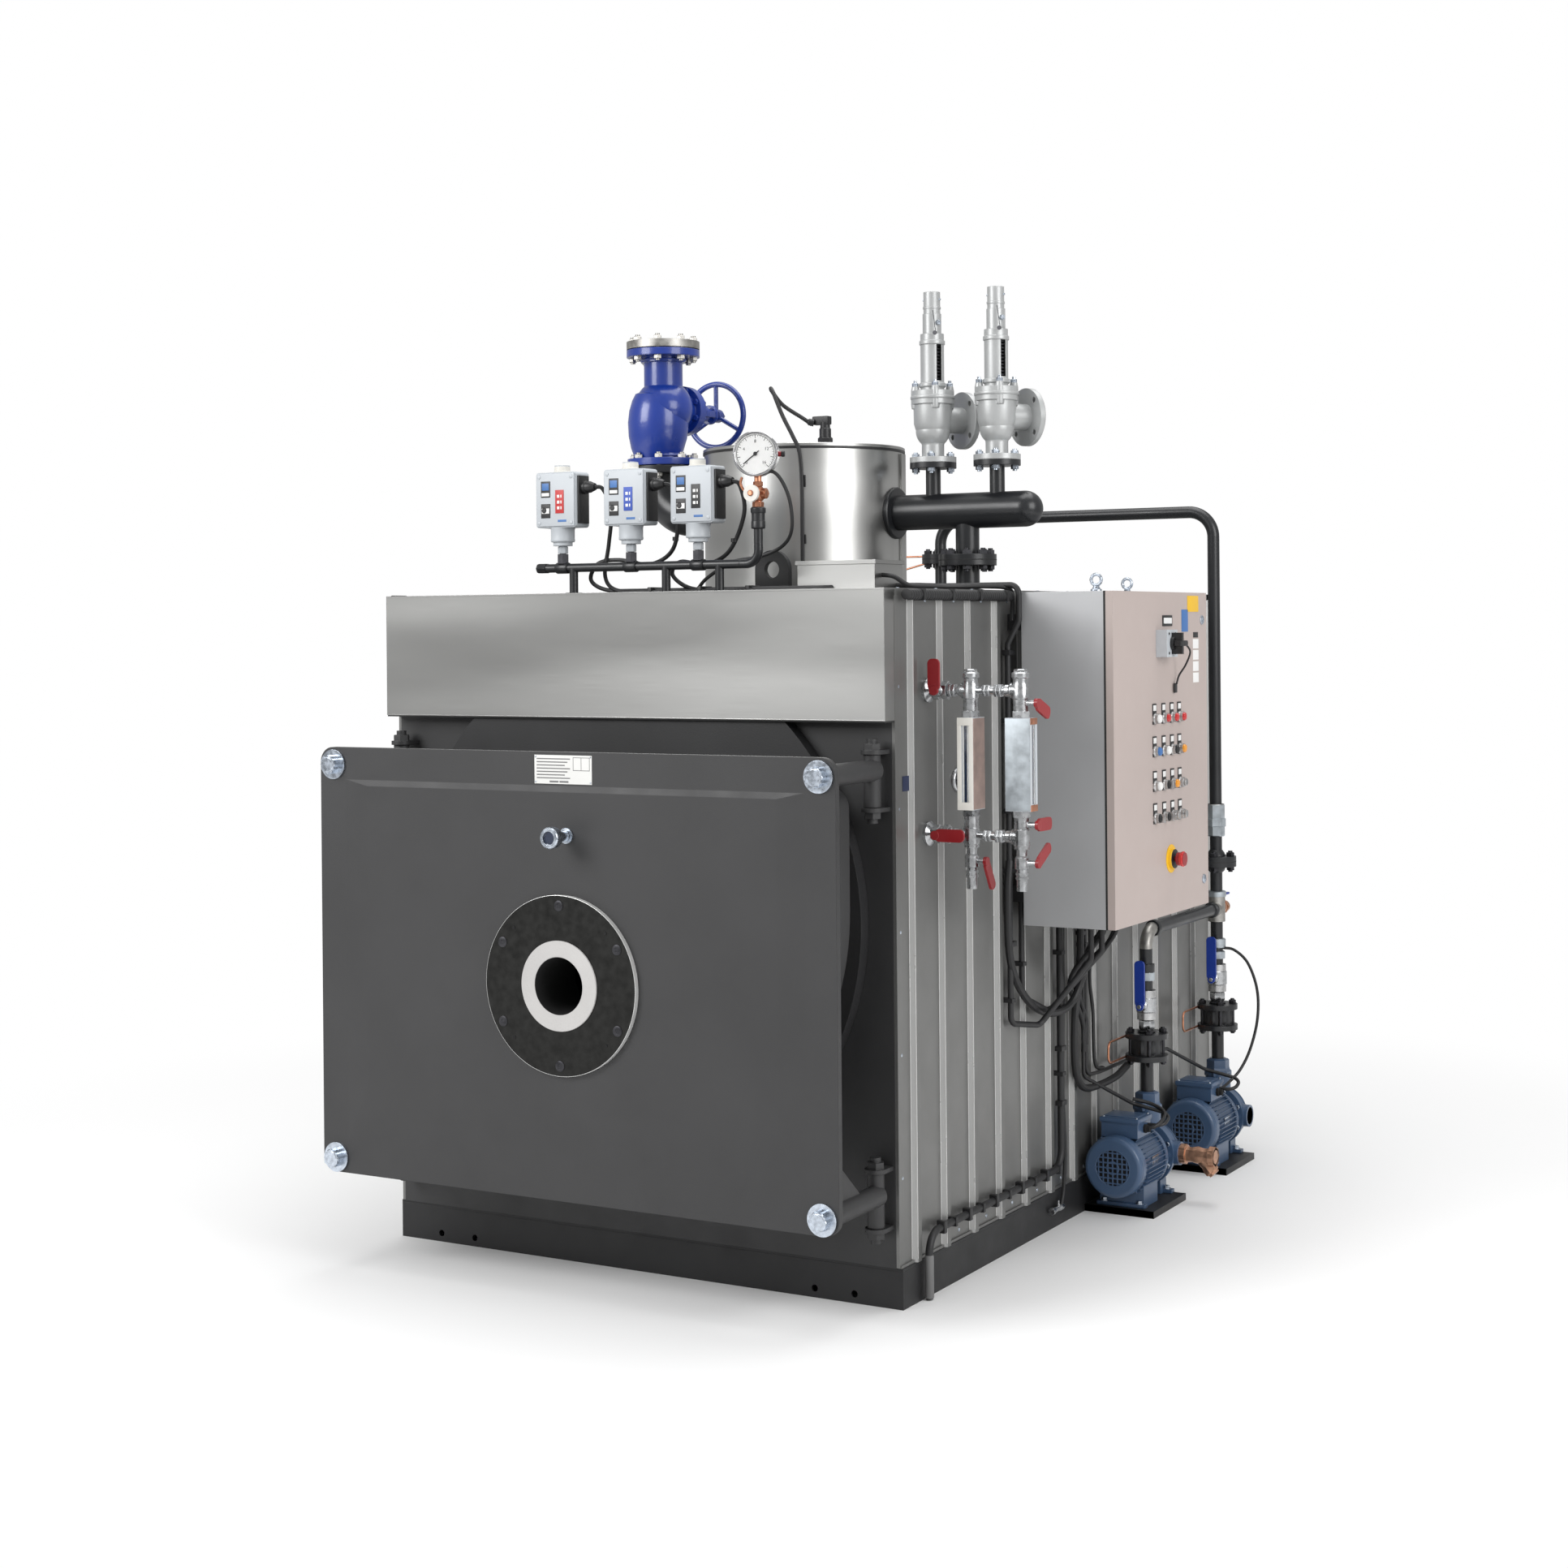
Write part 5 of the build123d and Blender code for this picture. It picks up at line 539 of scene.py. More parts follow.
def dress_switches():
    """Covers, screws, windows, labels and glands of the pressure switches."""
    cover = bmesh.new()
    dark = bmesh.new()
    metal_bits = bmesh.new()
    white = bmesh.new()
    cups = bmesh.new()
    for x in SWITCH_X:
        slab(cover, (x - 71, x + 71), (209, 216), (2206, 2370), 3)
        pan_heads(metal_bits, [(x + dx, 209, z) for dx in (-60, 60) for z in (2217, 2359)], FRONT, 6.5, 2.4)
        slabs(dark, ((x + 74, x + 81), (222, 278), (2214, 2362), 2),
              ((x - 52, x - 18), (207.6, 210), (2296, 2346), 0.6), ((x - 52, x - 18), (207.6, 210), (2232, 2276), 0.6))
        turned(dark, (x + 75, SWITCH_Y, 2326), RIGHT, [(6, 21), (16, 21), (18, 18), (30, 18), (40, 14), (48, 11)], 24)
        turned(cups, (x, SWITCH_Y, 2374), UP, [(0, 27), (3, 27), (5, 24.5), (18, 24.5), (22.6, 20)])
        stack(metal_bits, x, SWITCH_Y, (2160, 40, (-3, 31), (0, 37.5), (4, 38), (8, 37), (36, 37), (40, 38.5),
                                        (43, 38.5)), (2122, 6, (0, 15), (3, 16), (20, 16), (24, 13)))
        turned(dark, (x - 40, 210, 2256), FRONT, [(0, 9), (3, 9), (5, 7)], 24)
        for z in (2258, 2276, 2294):
            slabs(white, ((x + 9, x + 18), (206.6, 207.4), (z, z + 9), 0.1),
                  ((x + 22, x + 26), (206.6, 207.4), (z, z + 9), 0.1))
        slabs(white, ((x - 49, x - 21), (206.9, 207.4), (2246, 2262), 0.1),
              ((x - 49, x - 21), (206.9, 207.4), (2300, 2310), 0.1))
    piece("switch_covers", cover, "switch_grey")
    piece("switch_dark_parts", dark, "plastic_black")
    piece("switch_metal_parts", metal_bits, "switch_grey")
    piece("switch_labels", white, "label_white")
    piece("switch_caps", cups, "cream")
    for name, x in zip(("red", "blue", "black"), SWITCH_X):
        single("switch_label_" + name, "label_" + name, slab, (x + 2, x + 33), (207.2, 209.6), (2246, 2318), 0.3)
    bm = bmesh.new()
    for x in SWITCH_X:
        slabs(bm, ((x - 48, x - 22), (207.2, 207.7), (2318, 2340), 0.2),
              ((x + 10, x + 42), (208.6, 209.4), (2219, 2226), 0.2))
    piece("switch_scales", bm, "scale_blue")
    repaint("pressure_switches", "dark_steel", lambda x, y, z, way: z < 2140)


GAUGE_CENTRE = (282, SWITCH_Y, 2401)
GAUGE_HALF = 23
GAUGE_TURN = math.radians(22)
GAUGE_WAY = Vector((math.sin(GAUGE_TURN), -math.cos(GAUGE_TURN), 0))
GAUGE_SIDE = Vector((math.cos(GAUGE_TURN), math.sin(GAUGE_TURN), 0))
DIAL_START = math.radians(225)
DIAL_SWEEP = math.radians(270)


def on_dial(radius, angle, rise):
    """Point on the gauge's face, in millimetres."""
    flat = (GAUGE_SIDE * math.cos(angle) + Vector(UP) * math.sin(angle)) * radius + GAUGE_WAY * (GAUGE_HALF + rise)
    return tuple(GAUGE_CENTRE[i] + flat[i] for i in range(3))


def dial_stroke(bm, inner, outer, angle, width, rise):
    """Flat radial mark on the dial."""
    turn = width / 2
    across = Vector(UP) * math.cos(angle) - GAUGE_SIDE * math.sin(angle)
    corners = []
    for radius, sign in ((inner, -1), (outer, -1), (outer, 1), (inner, 1)):
        place = on_dial(radius, angle, rise)
        corners.append(at(*(place[i] + across[i] * turn * sign for i in range(3))))
    plate(bm, corners, GAUGE_WAY, 0.3 * MM)


def dial_number(text, radius, angle):
    """Figure on the dial."""
    data = bpy.data.curves.new("dial_number_" + text, "FONT")
    data.body = text
    data.size = 13 * MM
    data.align_x = "CENTER"
    data.align_y = "CENTER"
    data.extrude = 0.15 * MM
    made = bpy.data.objects.new("dial_number_" + text, data)
    turn = Matrix((GAUGE_SIDE, Vector(UP), GAUGE_WAY)).transposed()
    made.matrix_world = Matrix.Translation(at(*on_dial(radius, angle, 1.7))) @ turn.to_4x4()
    bpy.context.scene.collection.objects.link(made)
    data.materials.append(FINISH["label_black"])
    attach(made, "root")


def dress_gauge():
    """Dial, figures, pointer, bezel, glass and cock of the pressure gauge."""
    face = shifted(GAUGE_CENTRE, GAUGE_WAY, GAUGE_HALF)
    single("gauge_dial", "label_white", turned, face, GAUGE_WAY, [(0, 60), (1.2, 60)], 64)
    bm = bmesh.new()
    for number in range(33):
        angle = DIAL_START - DIAL_SWEEP * number / 32
        long_mark = number % 4 == 0
        dial_stroke(bm, 46 if long_mark else 51, 56, angle, 1.6 if long_mark else 0.8, 1.4)
    for step in range(48):
        first = DIAL_START - DIAL_SWEEP * step / 48
        dial_stroke(bm, 55.4, 56.6, first - DIAL_SWEEP / 96, 5.8, 1.3)
    piece("gauge_marks", bm, "label_black")
    for number in range(0, 9, 2):
        dial_number(str(number * 2), 37, DIAL_START - DIAL_SWEEP * number / 8)
    bm = bmesh.new()
    dial_stroke(bm, -14, 47, DIAL_START - DIAL_SWEEP * 0.02, 3.2, 3.0)
    turned(bm, shifted(face, GAUGE_WAY, 2.6), GAUGE_WAY, [(0, 6), (2, 6), (3, 4)], 24)
    piece("gauge_pointer", bm, "label_black")
    bm = bmesh.new()
    turned(bm, face, GAUGE_WAY, [(-6, 66.4), (-4, 68), (3, 68), (6, 66), (6.5, 62), (5, 60), (1, 60)], 72)
    turned(bm, shifted(GAUGE_CENTRE, GAUGE_WAY, -GAUGE_HALF), GAUGE_WAY, [(-3, 56), (0, 62), (2, 66.5), (8, 66.5)], 64)
    piece("gauge_bezel", bm, "gauge_case")
    single("gauge_glass", "glass", turned, shifted(face, GAUGE_WAY, 4.6), GAUGE_WAY, [(0, 60.5), (1, 60.5)], 64)
    knob = shifted(GAUGE_CENTRE, GAUGE_SIDE, 66)
    single("gauge_stop_red", "lever_red", turned, knob, GAUGE_SIDE, [(-3, 8), (7, 8), (9, 6)], 24)
    single("gauge_stop_black", "plastic_black", turned, shifted(knob, GAUGE_SIDE, 9), GAUGE_SIDE,
           [(0, 9), (8, 9), (10, 7)], 24)
    bm = bmesh.new()
    cock_x = 286
    hexa(bm, (cock_x, SWITCH_Y, 2244), UP, 30, 16)
    hexa(bm, (cock_x, SWITCH_Y, 2306), UP, 26, 14)
    turned(bm, (cock_x, SWITCH_Y, 2262), UP, [(0, 13), (4, 17), (16, 20), (30, 20), (40, 15), (44, 12)], 28)
    for side in (-1, 1):
        hexa(bm, (cock_x + side * 20, SWITCH_Y, 2284), (side, 0, 0), 26, 11)
    turned(bm, (cock_x, 206, 2284), FRONT, [(0, 9), (3, 9), (5, 6)], 20)
    cable(bm, [(262, SWITCH_Y, 2284), (240, 245, 2296), (232, 240, 2316), (238, 238, 2334)], 4)
    piece("gauge_cock_parts", bm, "copper")
    repaint("pressure_gauge", "copper", lambda x, y, z, way: z < 2336)
    repaint("pressure_gauge", "cream", lambda x, y, z, way: z < 2320 and y < 217)


def dress_top_cables():
    """Cables of the pressure switches, the trunk on the top sheet and the cable of the level probe."""
    bm = bmesh.new()
    cable(bm, [(-301, SWITCH_Y, 2326), (-276, 262, 2318), (-262, 285, 2250), (-282, 300, 2150), (-300, 305, 2050),
               (-262, 315, 2006), (-150, 322, 2004)], 6.5)
    cable(bm, [(-47, SWITCH_Y, 2326), (-26, 262, 2314), (-20, 290, 2240), (-52, 310, 2130), (-140, 318, 2085),
               (-250, 310, 2100), (-322, 300, 2090), (-350, 300, 2040), (-300, 312, 2008), (-190, 330, 2004)], 6.5)
    cable(bm, [(195, SWITCH_Y, 2326), (216, 262, 2312), (214, 290, 2230), (150, 310, 2120), (60, 318, 2080),
               (-30, 316, 2090), (-60, 318, 2050), (0, 330, 2008), (120, 336, 2004)], 6.5)
    cable(bm, [(300, SWITCH_Y, 2352), (344, 262, 2340), (372, 285, 2270), (372, 300, 2180), (330, 318, 2130),
               (250, 322, 2100), (150, 322, 2085), (60, 328, 2040), (20, 334, 2006)], 5.5)
    for offset, radius in ((0, 9), (19, 8), (36, 7), (-16, 6)):
        run = [(x, y + offset, TOP + radius) for x, y in ((-240, 330), (-60, 333), (150, 329), (330, 331), (420, 345))]
        cable(bm, run + [(455, 392, TOP + 1 + radius)], radius)
    cable(bm, [(601, 440, 2040), (640, 440, 2034), (680, 460, 2008), (740, 500, 2004), (800, 560, 2004),
               (850, 640, 2004), (882, 700, 2000), (898, 712, 1980), (900, 705, 1900)], 7)
    piece("top_cables", bm, "cable_black")
    bm = bmesh.new()
    for x in (-140, 40, 210):
        slab(bm, (x - 7, x + 7), (308, 376), (TOP, 2014), 3)
    for x, y, z in ((-290, 302, 2100), (-40, 305, 2160), (170, 302, 2150)):
        turned(bm, (x, y, z - 6), UP, [(0, 9.5), (12, 9.5)], 16)
    slabs(bm, ((166, 184), (716, 724), (2330, 2368), 2), ((166, 184), (716, 724), (2150, 2180), 2))
    piece("cable_clips_top", bm, "plastic_black")
    single("probe_cable", "cable_black", cable, [(126, 868, 2540), (104, 850, 2560), (60, 800, 2600), (44, 760, 2640),
                                                 (52, 735, 2650), (74, 715, 2630), (110, 705, 2560), (150, 702, 2490),
                                                 (172, 704, 2440), (176, 710, 2350), (176, 712, 2200),
                                                 (176, 712, 2050), (190, 690, 2006), (260, 640, 2003),
                                                 (330, 575, 2004)], 6.5)


def make_drum_lid():
    """Drum lid with its rim and level probe, in place of the plain CAD lid, and the drum's seams."""
    lid = single("drum_lid_finished", "stainless", turned, (0, DRUM_Y, 2462), UP,
                 [(0, 334), (10, 334), (12, 331), (12, 0)], 128)
    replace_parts(lid, "drum_lid")
    bm = bmesh.new()
    turned(bm, (0, DRUM_Y, 2456), UP, [(0, 331), (0, 334.6), (8, 334.6), (8, 331)], 128)
    stack(bm, 169, 880, (2474, 6, (0, 24), (20, 24), (24, 20)), (2498, 28, (0, 19), (26, 19), (30, 16), (48, 16)))
    slab(bm, (128, 186), (866, 894), (2538, 2566), 5)
    turned(bm, (134, 868, 2545), (-0.87, -0.45, 0.2), [(0, 12), (16, 11), (20, 8)], 20)
    piece("drum_rim_and_probe", bm, "plastic_black")
    bm = bmesh.new()
    slabs(bm, ((-7, 7), (709.2, 711.4), (1996, 2450)), ((320, 331.2), (1100, 1130), (1996, 2450)))
    turned(bm, (0, DRUM_Y, TOP), UP, [(0, 346), (3, 346), (4, 332), (20, 332)], 128)
    piece("drum_seams", bm, "stainless")


# Control cabinet

FACE = 1219
ESTOP = (1179, 1157)
SWITCH_PLATE = (1111, 1827)
LABELS = (FACE, FACE + 1)
BUTTON_ROWS = (1597, 1497, 1391, 1292)
BUTTON_COLUMNS = (1045, 1122, 1193, 1258)
BUTTON_COLOURS = (("label_white", "lamp_red", "lamp_red", "lamp_red"),
                  ("scale_blue", "label_white", "label_black", "lamp_orange"),
                  ("label_white", "label_black", "lamp_orange", None), ("label_black", "label_black", None, None))


def dress_cabinet():
    """Buttons, labels, locks, eye bolts, seal, glands, cables and key of the control cabinet."""
    lamps = {}
    bezels = bmesh.new()
    holders = bmesh.new()
    strips = bmesh.new()
    for row, z in enumerate(BUTTON_ROWS):
        for column, y in enumerate(BUTTON_COLUMNS):
            colour = BUTTON_COLOURS[row][column]
            slab(holders, (FACE, FACE + 2), (y - 16, y + 16), (z - 18, z + 46), 1)
            slab(strips, (FACE + 1.5, FACE + 2.6), (y - 12, y + 12), (z + 24, z + 41), 0.3)
            turned(bezels, (FACE, y, z), RIGHT, [(0, 17.5), (5, 17.5), (8, 15.6), (16.4, 15.6), (16.4, 13)], 28)
            if colour:
                bm = lamps.setdefault(colour, bmesh.new())
                turned(bm, (FACE + 14, y, z), RIGHT, [(0, 13.4), (6, 13), (9, 11), (10.5, 6), (11, 0)], 28)
            else:
                turned(bezels, (FACE + 16, y, z), RIGHT, [(0, 12), (8, 12), (9, 10.5)], 24)
    for row, column in ((3, 0), (3, 1), (2, 1)):
        y, z = BUTTON_COLUMNS[column], BUTTON_ROWS[row]
        slab(bezels, (FACE + 22, FACE + 33), (y - 4, y + 4), (z - 13, z + 13), 2)
    for colour, bm in lamps.items():
        piece("button_caps_" + colour, bm, colour, "cabinet_door")
    piece("button_bezels", bezels, "nickel", "cabinet_door")
    piece("button_holders", holders, "plastic_black", "cabinet_door")
    piece("button_strips", strips, "label_white", "cabinet_door")
    bm = bmesh.new()
    turned(bm, (FACE, *ESTOP), RIGHT, [(0, 44), (1.6, 44), (1.6, 0)], 48)
    turned(bm, (FACE, *ESTOP), RIGHT, [(0, 31), (11, 31), (13.8, 28), (13.8, 10)], 36)
    piece("estop_collar_yellow", bm, "label_yellow", "cabinet_door")
    single("estop_head_red", "lamp_red", turned, (FACE + 42, *ESTOP), RIGHT,
           [(-10, 21.6), (-4, 24), (0, 24), (2.4, 21), (3.6, 12), (3.8, 0)], 36, body="estop_button", slot="lever_red")
    single("cabinet_label_yellow", "label_yellow", slab, LABELS, (1340, 1440), (1925, 1976), 0.3, body="cabinet_door")
    single("cabinet_label_blue", "scale_blue", slab, LABELS, (1288, 1344), (1862, 1932), 0.3, body="cabinet_door")
    bm = bmesh.new()
    for z in ((1808, 1838), (1772, 1803), (1736, 1767), (1700, 1731)):
        slab(bm, LABELS, (1388, 1438), z, 0.3)
    slab(bm, (FACE + 2, FACE + 3.4), (1127, 1195), (1888, 1906), 0.3)
    piece("cabinet_labels_white", bm, "label_white", "cabinet_door")
    bm = bmesh.new()
    slab(bm, (FACE, FACE + 2.4), (1120, 1202), (1880, 1914), 0.8)
    for y in (1084, 1138):
        for z in (1797, 1857):
            turned(bm, (FACE + 36, y, z), RIGHT, [(0, 4.5), (1.2, 4)], 14)
    slab(bm, (FACE, FACE + 1.2), (1392, 1434), (1843, 1860), 0.2)
    piece("cabinet_dark_labels", bm, "label_black", "cabinet_door")
    bm = bmesh.new()
    for y, z in ((1470, 1899), (1470, 1067)):
        turned(bm, (FACE, y, z), RIGHT, [(0, 15), (3, 15), (5, 12), (5.4, 0)], 28)
        slab(bm, (FACE + 5, FACE + 7), (y - 3, y + 3), (z - 8, z + 8), 0.5)
    piece("cabinet_locks", bm, "zinc", "cabinet_door")
    bm = bmesh.new()
    for x, y in ((1150, 760), (965, 1471)):
        turned(bm, (x, y, 1986), UP, [(0, 17), (5, 17), (8, 12), (15, 9)], 24)
        ring(bm, (x, y, 2020), BACK, 16, 5, 32)
    piece("cabinet_eye_bolts", bm, "zinc")
    bm = bmesh.new()
    slab(bm, (FACE + 46, FACE + 70), (1094, 1160), (1818, 1836), 6)
    cable(bm, [(FACE + 60, 1158, 1826), (FACE + 62, 1196, 1800), (FACE + 40, 1216, 1760), (FACE + 14, 1226, 1726),
               (FACE + 10, 1214, 1700)], 3)
    slab(bm, (FACE + 4, FACE + 8), (1204, 1226), (1672, 1702), 1.5)
    piece("main_switch_handle", bm, "plastic_black", "main_switch")
    bm = bmesh.new()
    for y, z in (((716.4, 1514.6), (1984, 1986.4)), ((716.4, 1514.6), (984.6, 987)),
                 ((716.4, 719), (987, 1984)), ((1512, 1514.6), (987, 1984))):
        slab(bm, (1189.4, 1195.6), y, z)
    piece("cabinet_seal", bm, "gasket")
    bm = bmesh.new()
    for x, y in ((1040, 960), (1055, 1010), (1040, 1060), (1060, 1110), (1035, 1160), (1060, 1210)):
        turned(bm, (x, y, 979), DOWN, [(0, 16), (6, 16), (7, 15), (18, 15), (22, 12), (30, 11)], 12)
    piece("cabinet_glands", bm, "plastic_black")
    bm = bmesh.new()
    cable(bm, [(1040, 1060, 952), (1040, 1058, 930), (1000, 1064, 880), (930, 1085, 800), (900, 1120, 740),
               (893, 1190, 680), (892, 1246, 600), (892, 1246, 520)], 8)
    cable(bm, [(1060, 1110, 952), (1060, 1108, 925), (1010, 1120, 860), (930, 1160, 780), (896, 1210, 700),
               (892, 1268, 620), (892, 1268, 540)], 7)
    cable(bm, [(1035, 1160, 952), (1035, 1160, 930), (1000, 1185, 880), (930, 1230, 820), (897, 1290, 740),
               (890, 1330, 640), (892, 1340, 470), (905, 1380, 447)], 6)
    cable(bm, [(890, 694, 1180), (892, 676, 1076), (893, 689, 878), (900, 784, 755), (906, 931, 690), (912, 1080, 690),
               (930, 1140, 760), (965, 1120, 860), (1020, 1100, 930), (1030, 1100, 979)], 12)
    cable(bm, [(892, 1227, 960), (892, 1227, 892), (893, 1214, 756), (893, 1175, 640), (893, 1172, 500),
               (896, 1200, 430), (905, 1260, 402), (925, 1417, 410), (940, 1500, 440)], 12)
    piece("cabinet_cables", bm, "cable_black")
    repaint("cabinet_door", "cabinet_rose", everywhere)
    for node, low, high in (("cabinet_door", 1, 100), ("control_buttons", -100, 37), ("main_switch", -100, 37)):
        repaint(node, "switch_grey", lambda x, y, z,
                way: low < x - FACE < high and math.dist((y, z), SWITCH_PLATE) < 70)


# Burner door and front

def dress_front():
    """Name plate, burner plate, sight glass, bolt heads and edges of the front."""
    single("name_plate", "plate_white", slab, (-92, 103), (-366.4, -364.6), (1452, 1533), 0.4, body="front_door")
    bm = bmesh.new()
    lines = [((-84, 30 - 9 * (row % 3)), (1521 - row * 9, 1524 - row * 9)) for row in range(7)]
    lines += [((x, x + 30), (1456, 1461)) for x in (-40, -6)]
    lines += [((40, 96), (z, z + 1.5)) for z in (1490, 1526)] + [((x, x + 1.2), (1490, 1527)) for x in (40, 67, 95)]
    for x, z in lines:
        slab(bm, x, (-366.9, -366.2), z)
    piece("name_plate_lines", bm, "ink_grey", "front_door")
    corners = [(x, -366.4, z) for x in (-88, 99) for z in (1457, 1528)]
    single("name_plate_screws", "zinc", pan_heads, corners, FRONT, 2.6, 1.6, body="front_door")
    centre = (0, -385, 888)
    bm = bmesh.new()
    for place in spots(centre, FRONT, 224.5, 6, 30):
        turned(bm, place, FRONT, [(0, 15), (1.2, 15), (1.8, 14), (1.8, 7), (0.4, 6), (0.4, 0)], 28)
    piece("burner_plate_screws", bm, "dark_steel", "front_door")
    # The rim's colour is a painted highlight: light grey in place of the bright reflection on the machined rim.
    single("burner_plate_rim", "painted_highlight", turned, centre, FRONT,
           [(-20, 252.4), (-20, 253.8), (-0.6, 253.8), (-0.2, 252.4), (-20, 252.4)], 160, body="front_door",
           slot="flange_steel")
    plate = single("burner_plate_finished", "burner_black", turned, centre, FRONT,
                   [(-20, 127), (0, 127), (0, 252.6), (-20, 252.6), (-20, 127)], 160, body="front_door",
                   slot="flange_steel")
    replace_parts(plate, "burner_plate")
    bm = bmesh.new()
    for place in spots(centre, FRONT, 220, 4, 45):
        turned(bm, shifted(place, FRONT, 0.6), FRONT, [(0, 5.2), (0.4, 5.2)], 20)
    piece("burner_holes", bm, "shadow", "front_door")
    x, z = 19, 1308
    single("sight_lens", "lens", turned, (x, -453, z), FRONT, [(-2, 18.5), (0, 18.5), (0, 0)], 36, body="front_door")
    bm = bmesh.new()
    turned(bm, (x, -459, z), FRONT, [(-30, 14), (-30, 27), (-27, 30), (-4, 30), (-1, 28), (0, 27), (0, 19),
                                     (-7, 18.4)], 48)
    for number in range(30):
        turn = math.radians(number * 12)
        place = (x + 29.6 * math.cos(turn), -455, z + 29.6 * math.sin(turn))
        bar(bm, place, (place[0], -434, place[2]), 1.1, 6)
    turned(bm, (x, -429, z), BACK, [(0, 14), (44, 14), (44, 18), (54, 18), (54, 22), (64, 22)])
    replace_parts(piece("sight_glass_finished", bm, "zinc", "front_door"), "sight_glass")
    bm = bmesh.new()
    for side in (-1, 1):
        for z in (323, 1491):
            hexa(bm, (side * 825, -371, z), FRONT, 48.4, 24.3)
            turned(bm, (side * 825, -395.2, z), FRONT, [(0, 21), (0.8, 20.5)], 40)
    piece("door_bolt_heads", bm, "zinc", "front_door")
    bm = bmesh.new()
    slabs(bm, ((-866.5, 866.5), (-64.6, -63.8), (1626.5, 1629)), ((-866.5, 866.5), (-64.6, -63.8), (1988, TOP)),
          ((SIDE, 866.8), (-64, -6), (1627, TOP)), ((-866.8, -SIDE), (-64, -6), (1627, TOP)))
    piece("hood_edges", bm, "stainless")
    bm = bmesh.new()
    # The long dark strip under the hood is a seal, and it is also the painted shadow line under the hood's edge.
    slabs(bm, ((-SIDE, SIDE), (-62, -8), (1622, 1626.5)), ((-868.5, -852), (-40, 20), (1966, 1996), 3))
    piece("hood_seal", bm, "gasket")
    # Painted shade: the tube plate and the vessel, seen in the gap round the door, are made near-black.
    repaint("front_tube_plate", "painted_gap_shade", everywhere)
    repaint("burner_ring", "shadow", lambda x, y, z, way: math.hypot(x, z - 888) < 82 and y > -380)
    repaint("pressure_vessel", "painted_gap_shade", everywhere)


# Casing

RIBS = 14
RIB_START = 96
RIB_STEP = 185.5


def dress_casing():
    """Screws, edge trims, painted highlights on the ribs' edges and front flanks, the small plate of the casing, and
    the smoke box's door and bolts.
    """
    bm = bmesh.new()
    screws = [(RIB_START + number * RIB_STEP + 92, z) for number in range(RIBS - 1) for z in (140, 1960)]
    screws += [(y, z) for y in (18, 2500) for z in (360, 700, 1040, 1380, 1720)]
    for side, axis in ((SIDE, RIGHT), (-SIDE, LEFT)):
        pan_heads(bm, [(side, y, z) for y, z in screws], axis, 6, 2.4)
    pan_heads(bm, [(x, END, z) for x in range(-780, 781, 195) for z in (150, 1950)], BACK, 6, 2.4)
    pan_heads(bm, [(x, END, z) for x in (-790, 790) for z in range(330, 1800, 240)], BACK, 6, 2.4)
    pan_heads(bm, [(x, y, TOP) for x in (-845, 845) for y in range(60, 2500, 240)], UP, 6, 2.2)
    piece("casing_screws", bm, "zinc")
    single("casing_plate_blue", "plate_blue", slab, (SIDE, 868), (38, 112), (1428, 1470), 0.6)
    bm = bmesh.new()
    for side in (-1, 1):
        slabs(bm, (sorted((side * 846, side * 867.5)), (-5.8, 22), (116, 1972)),
              (sorted((side * SIDE, side * 872)), (0, END), (112, 122)))
    slab(bm, (-SIDE, SIDE), (2499, 2522), (1971, 1994.5))
    piece("casing_trims", bm, "cladding")
    # Painted highlights: near-white strips along each rib's front flank and foot, where the ribs catch the light.
    bm = bmesh.new()
    for number in range(RIBS):
        middle = RIB_START + number * RIB_STEP
        for side in (-1, 1):
            slabs(bm, (sorted((side * 876.5, side * 879.8)), (middle - 13.4, middle - 10.9), (124, 1970)),
                  (sorted((side * SIDE, side * 867)), (middle - 25, middle - 22), (124, 1970)))
    piece("rib_highlight_lines", bm, "painted_highlight")
    # Painted highlight: rib flanks facing the front get a lighter shade than the rest of the cladding.
    for node, side in (("side_cladding_right", 1), ("side_cladding_left", -1)):
        repaint(node, "painted_lit_flank", lambda x, y, z, way: x * side > SIDE and way.y < -0.3)
    bm = bmesh.new()
    heads = [(x, z) for x in (-470, 470) for z in (740, 1000, 1260, 1520)]
    for x, z in heads + [(x, z) for x in (-235, 0, 235) for z in (740, 1520)]:
        hexa(bm, (x, 2620, z), BACK, 24, 12)
    for place in spots((0, 2720, 1290), BACK, 197, 12):
        turned(bm, shifted(place, BACK, 9.4), BACK, [(0, 7), (0.6, 7)], 20)
    piece("smoke_box_bolts", bm, "zinc")
    bm = bmesh.new()
    slab(bm, (-452, 452), (2619, 2628), (758, 1502), 3)
    for side in (-1, 1):
        slab(bm, sorted((side * 300, side * 440)), (2627, 2650), (1118, 1142), 4)
    piece("smoke_box_door", bm, "frame_black")


# Level gauges

GAUGE_LINE = 194
GAUGE_X = (1003, 1156)
UPPER_Z = 1705
LOWER_Z = 1300


def union_nut(bm, place, axis, radius):
    """Ribbed union of a level gauge cock."""
    turned(bm, place, axis, [(-12, radius - 4), (-9, radius), (-3, radius), (-1.5, radius - 2), (1.5, radius - 2),
                             (3, radius), (9, radius), (12, radius - 4)], 6)


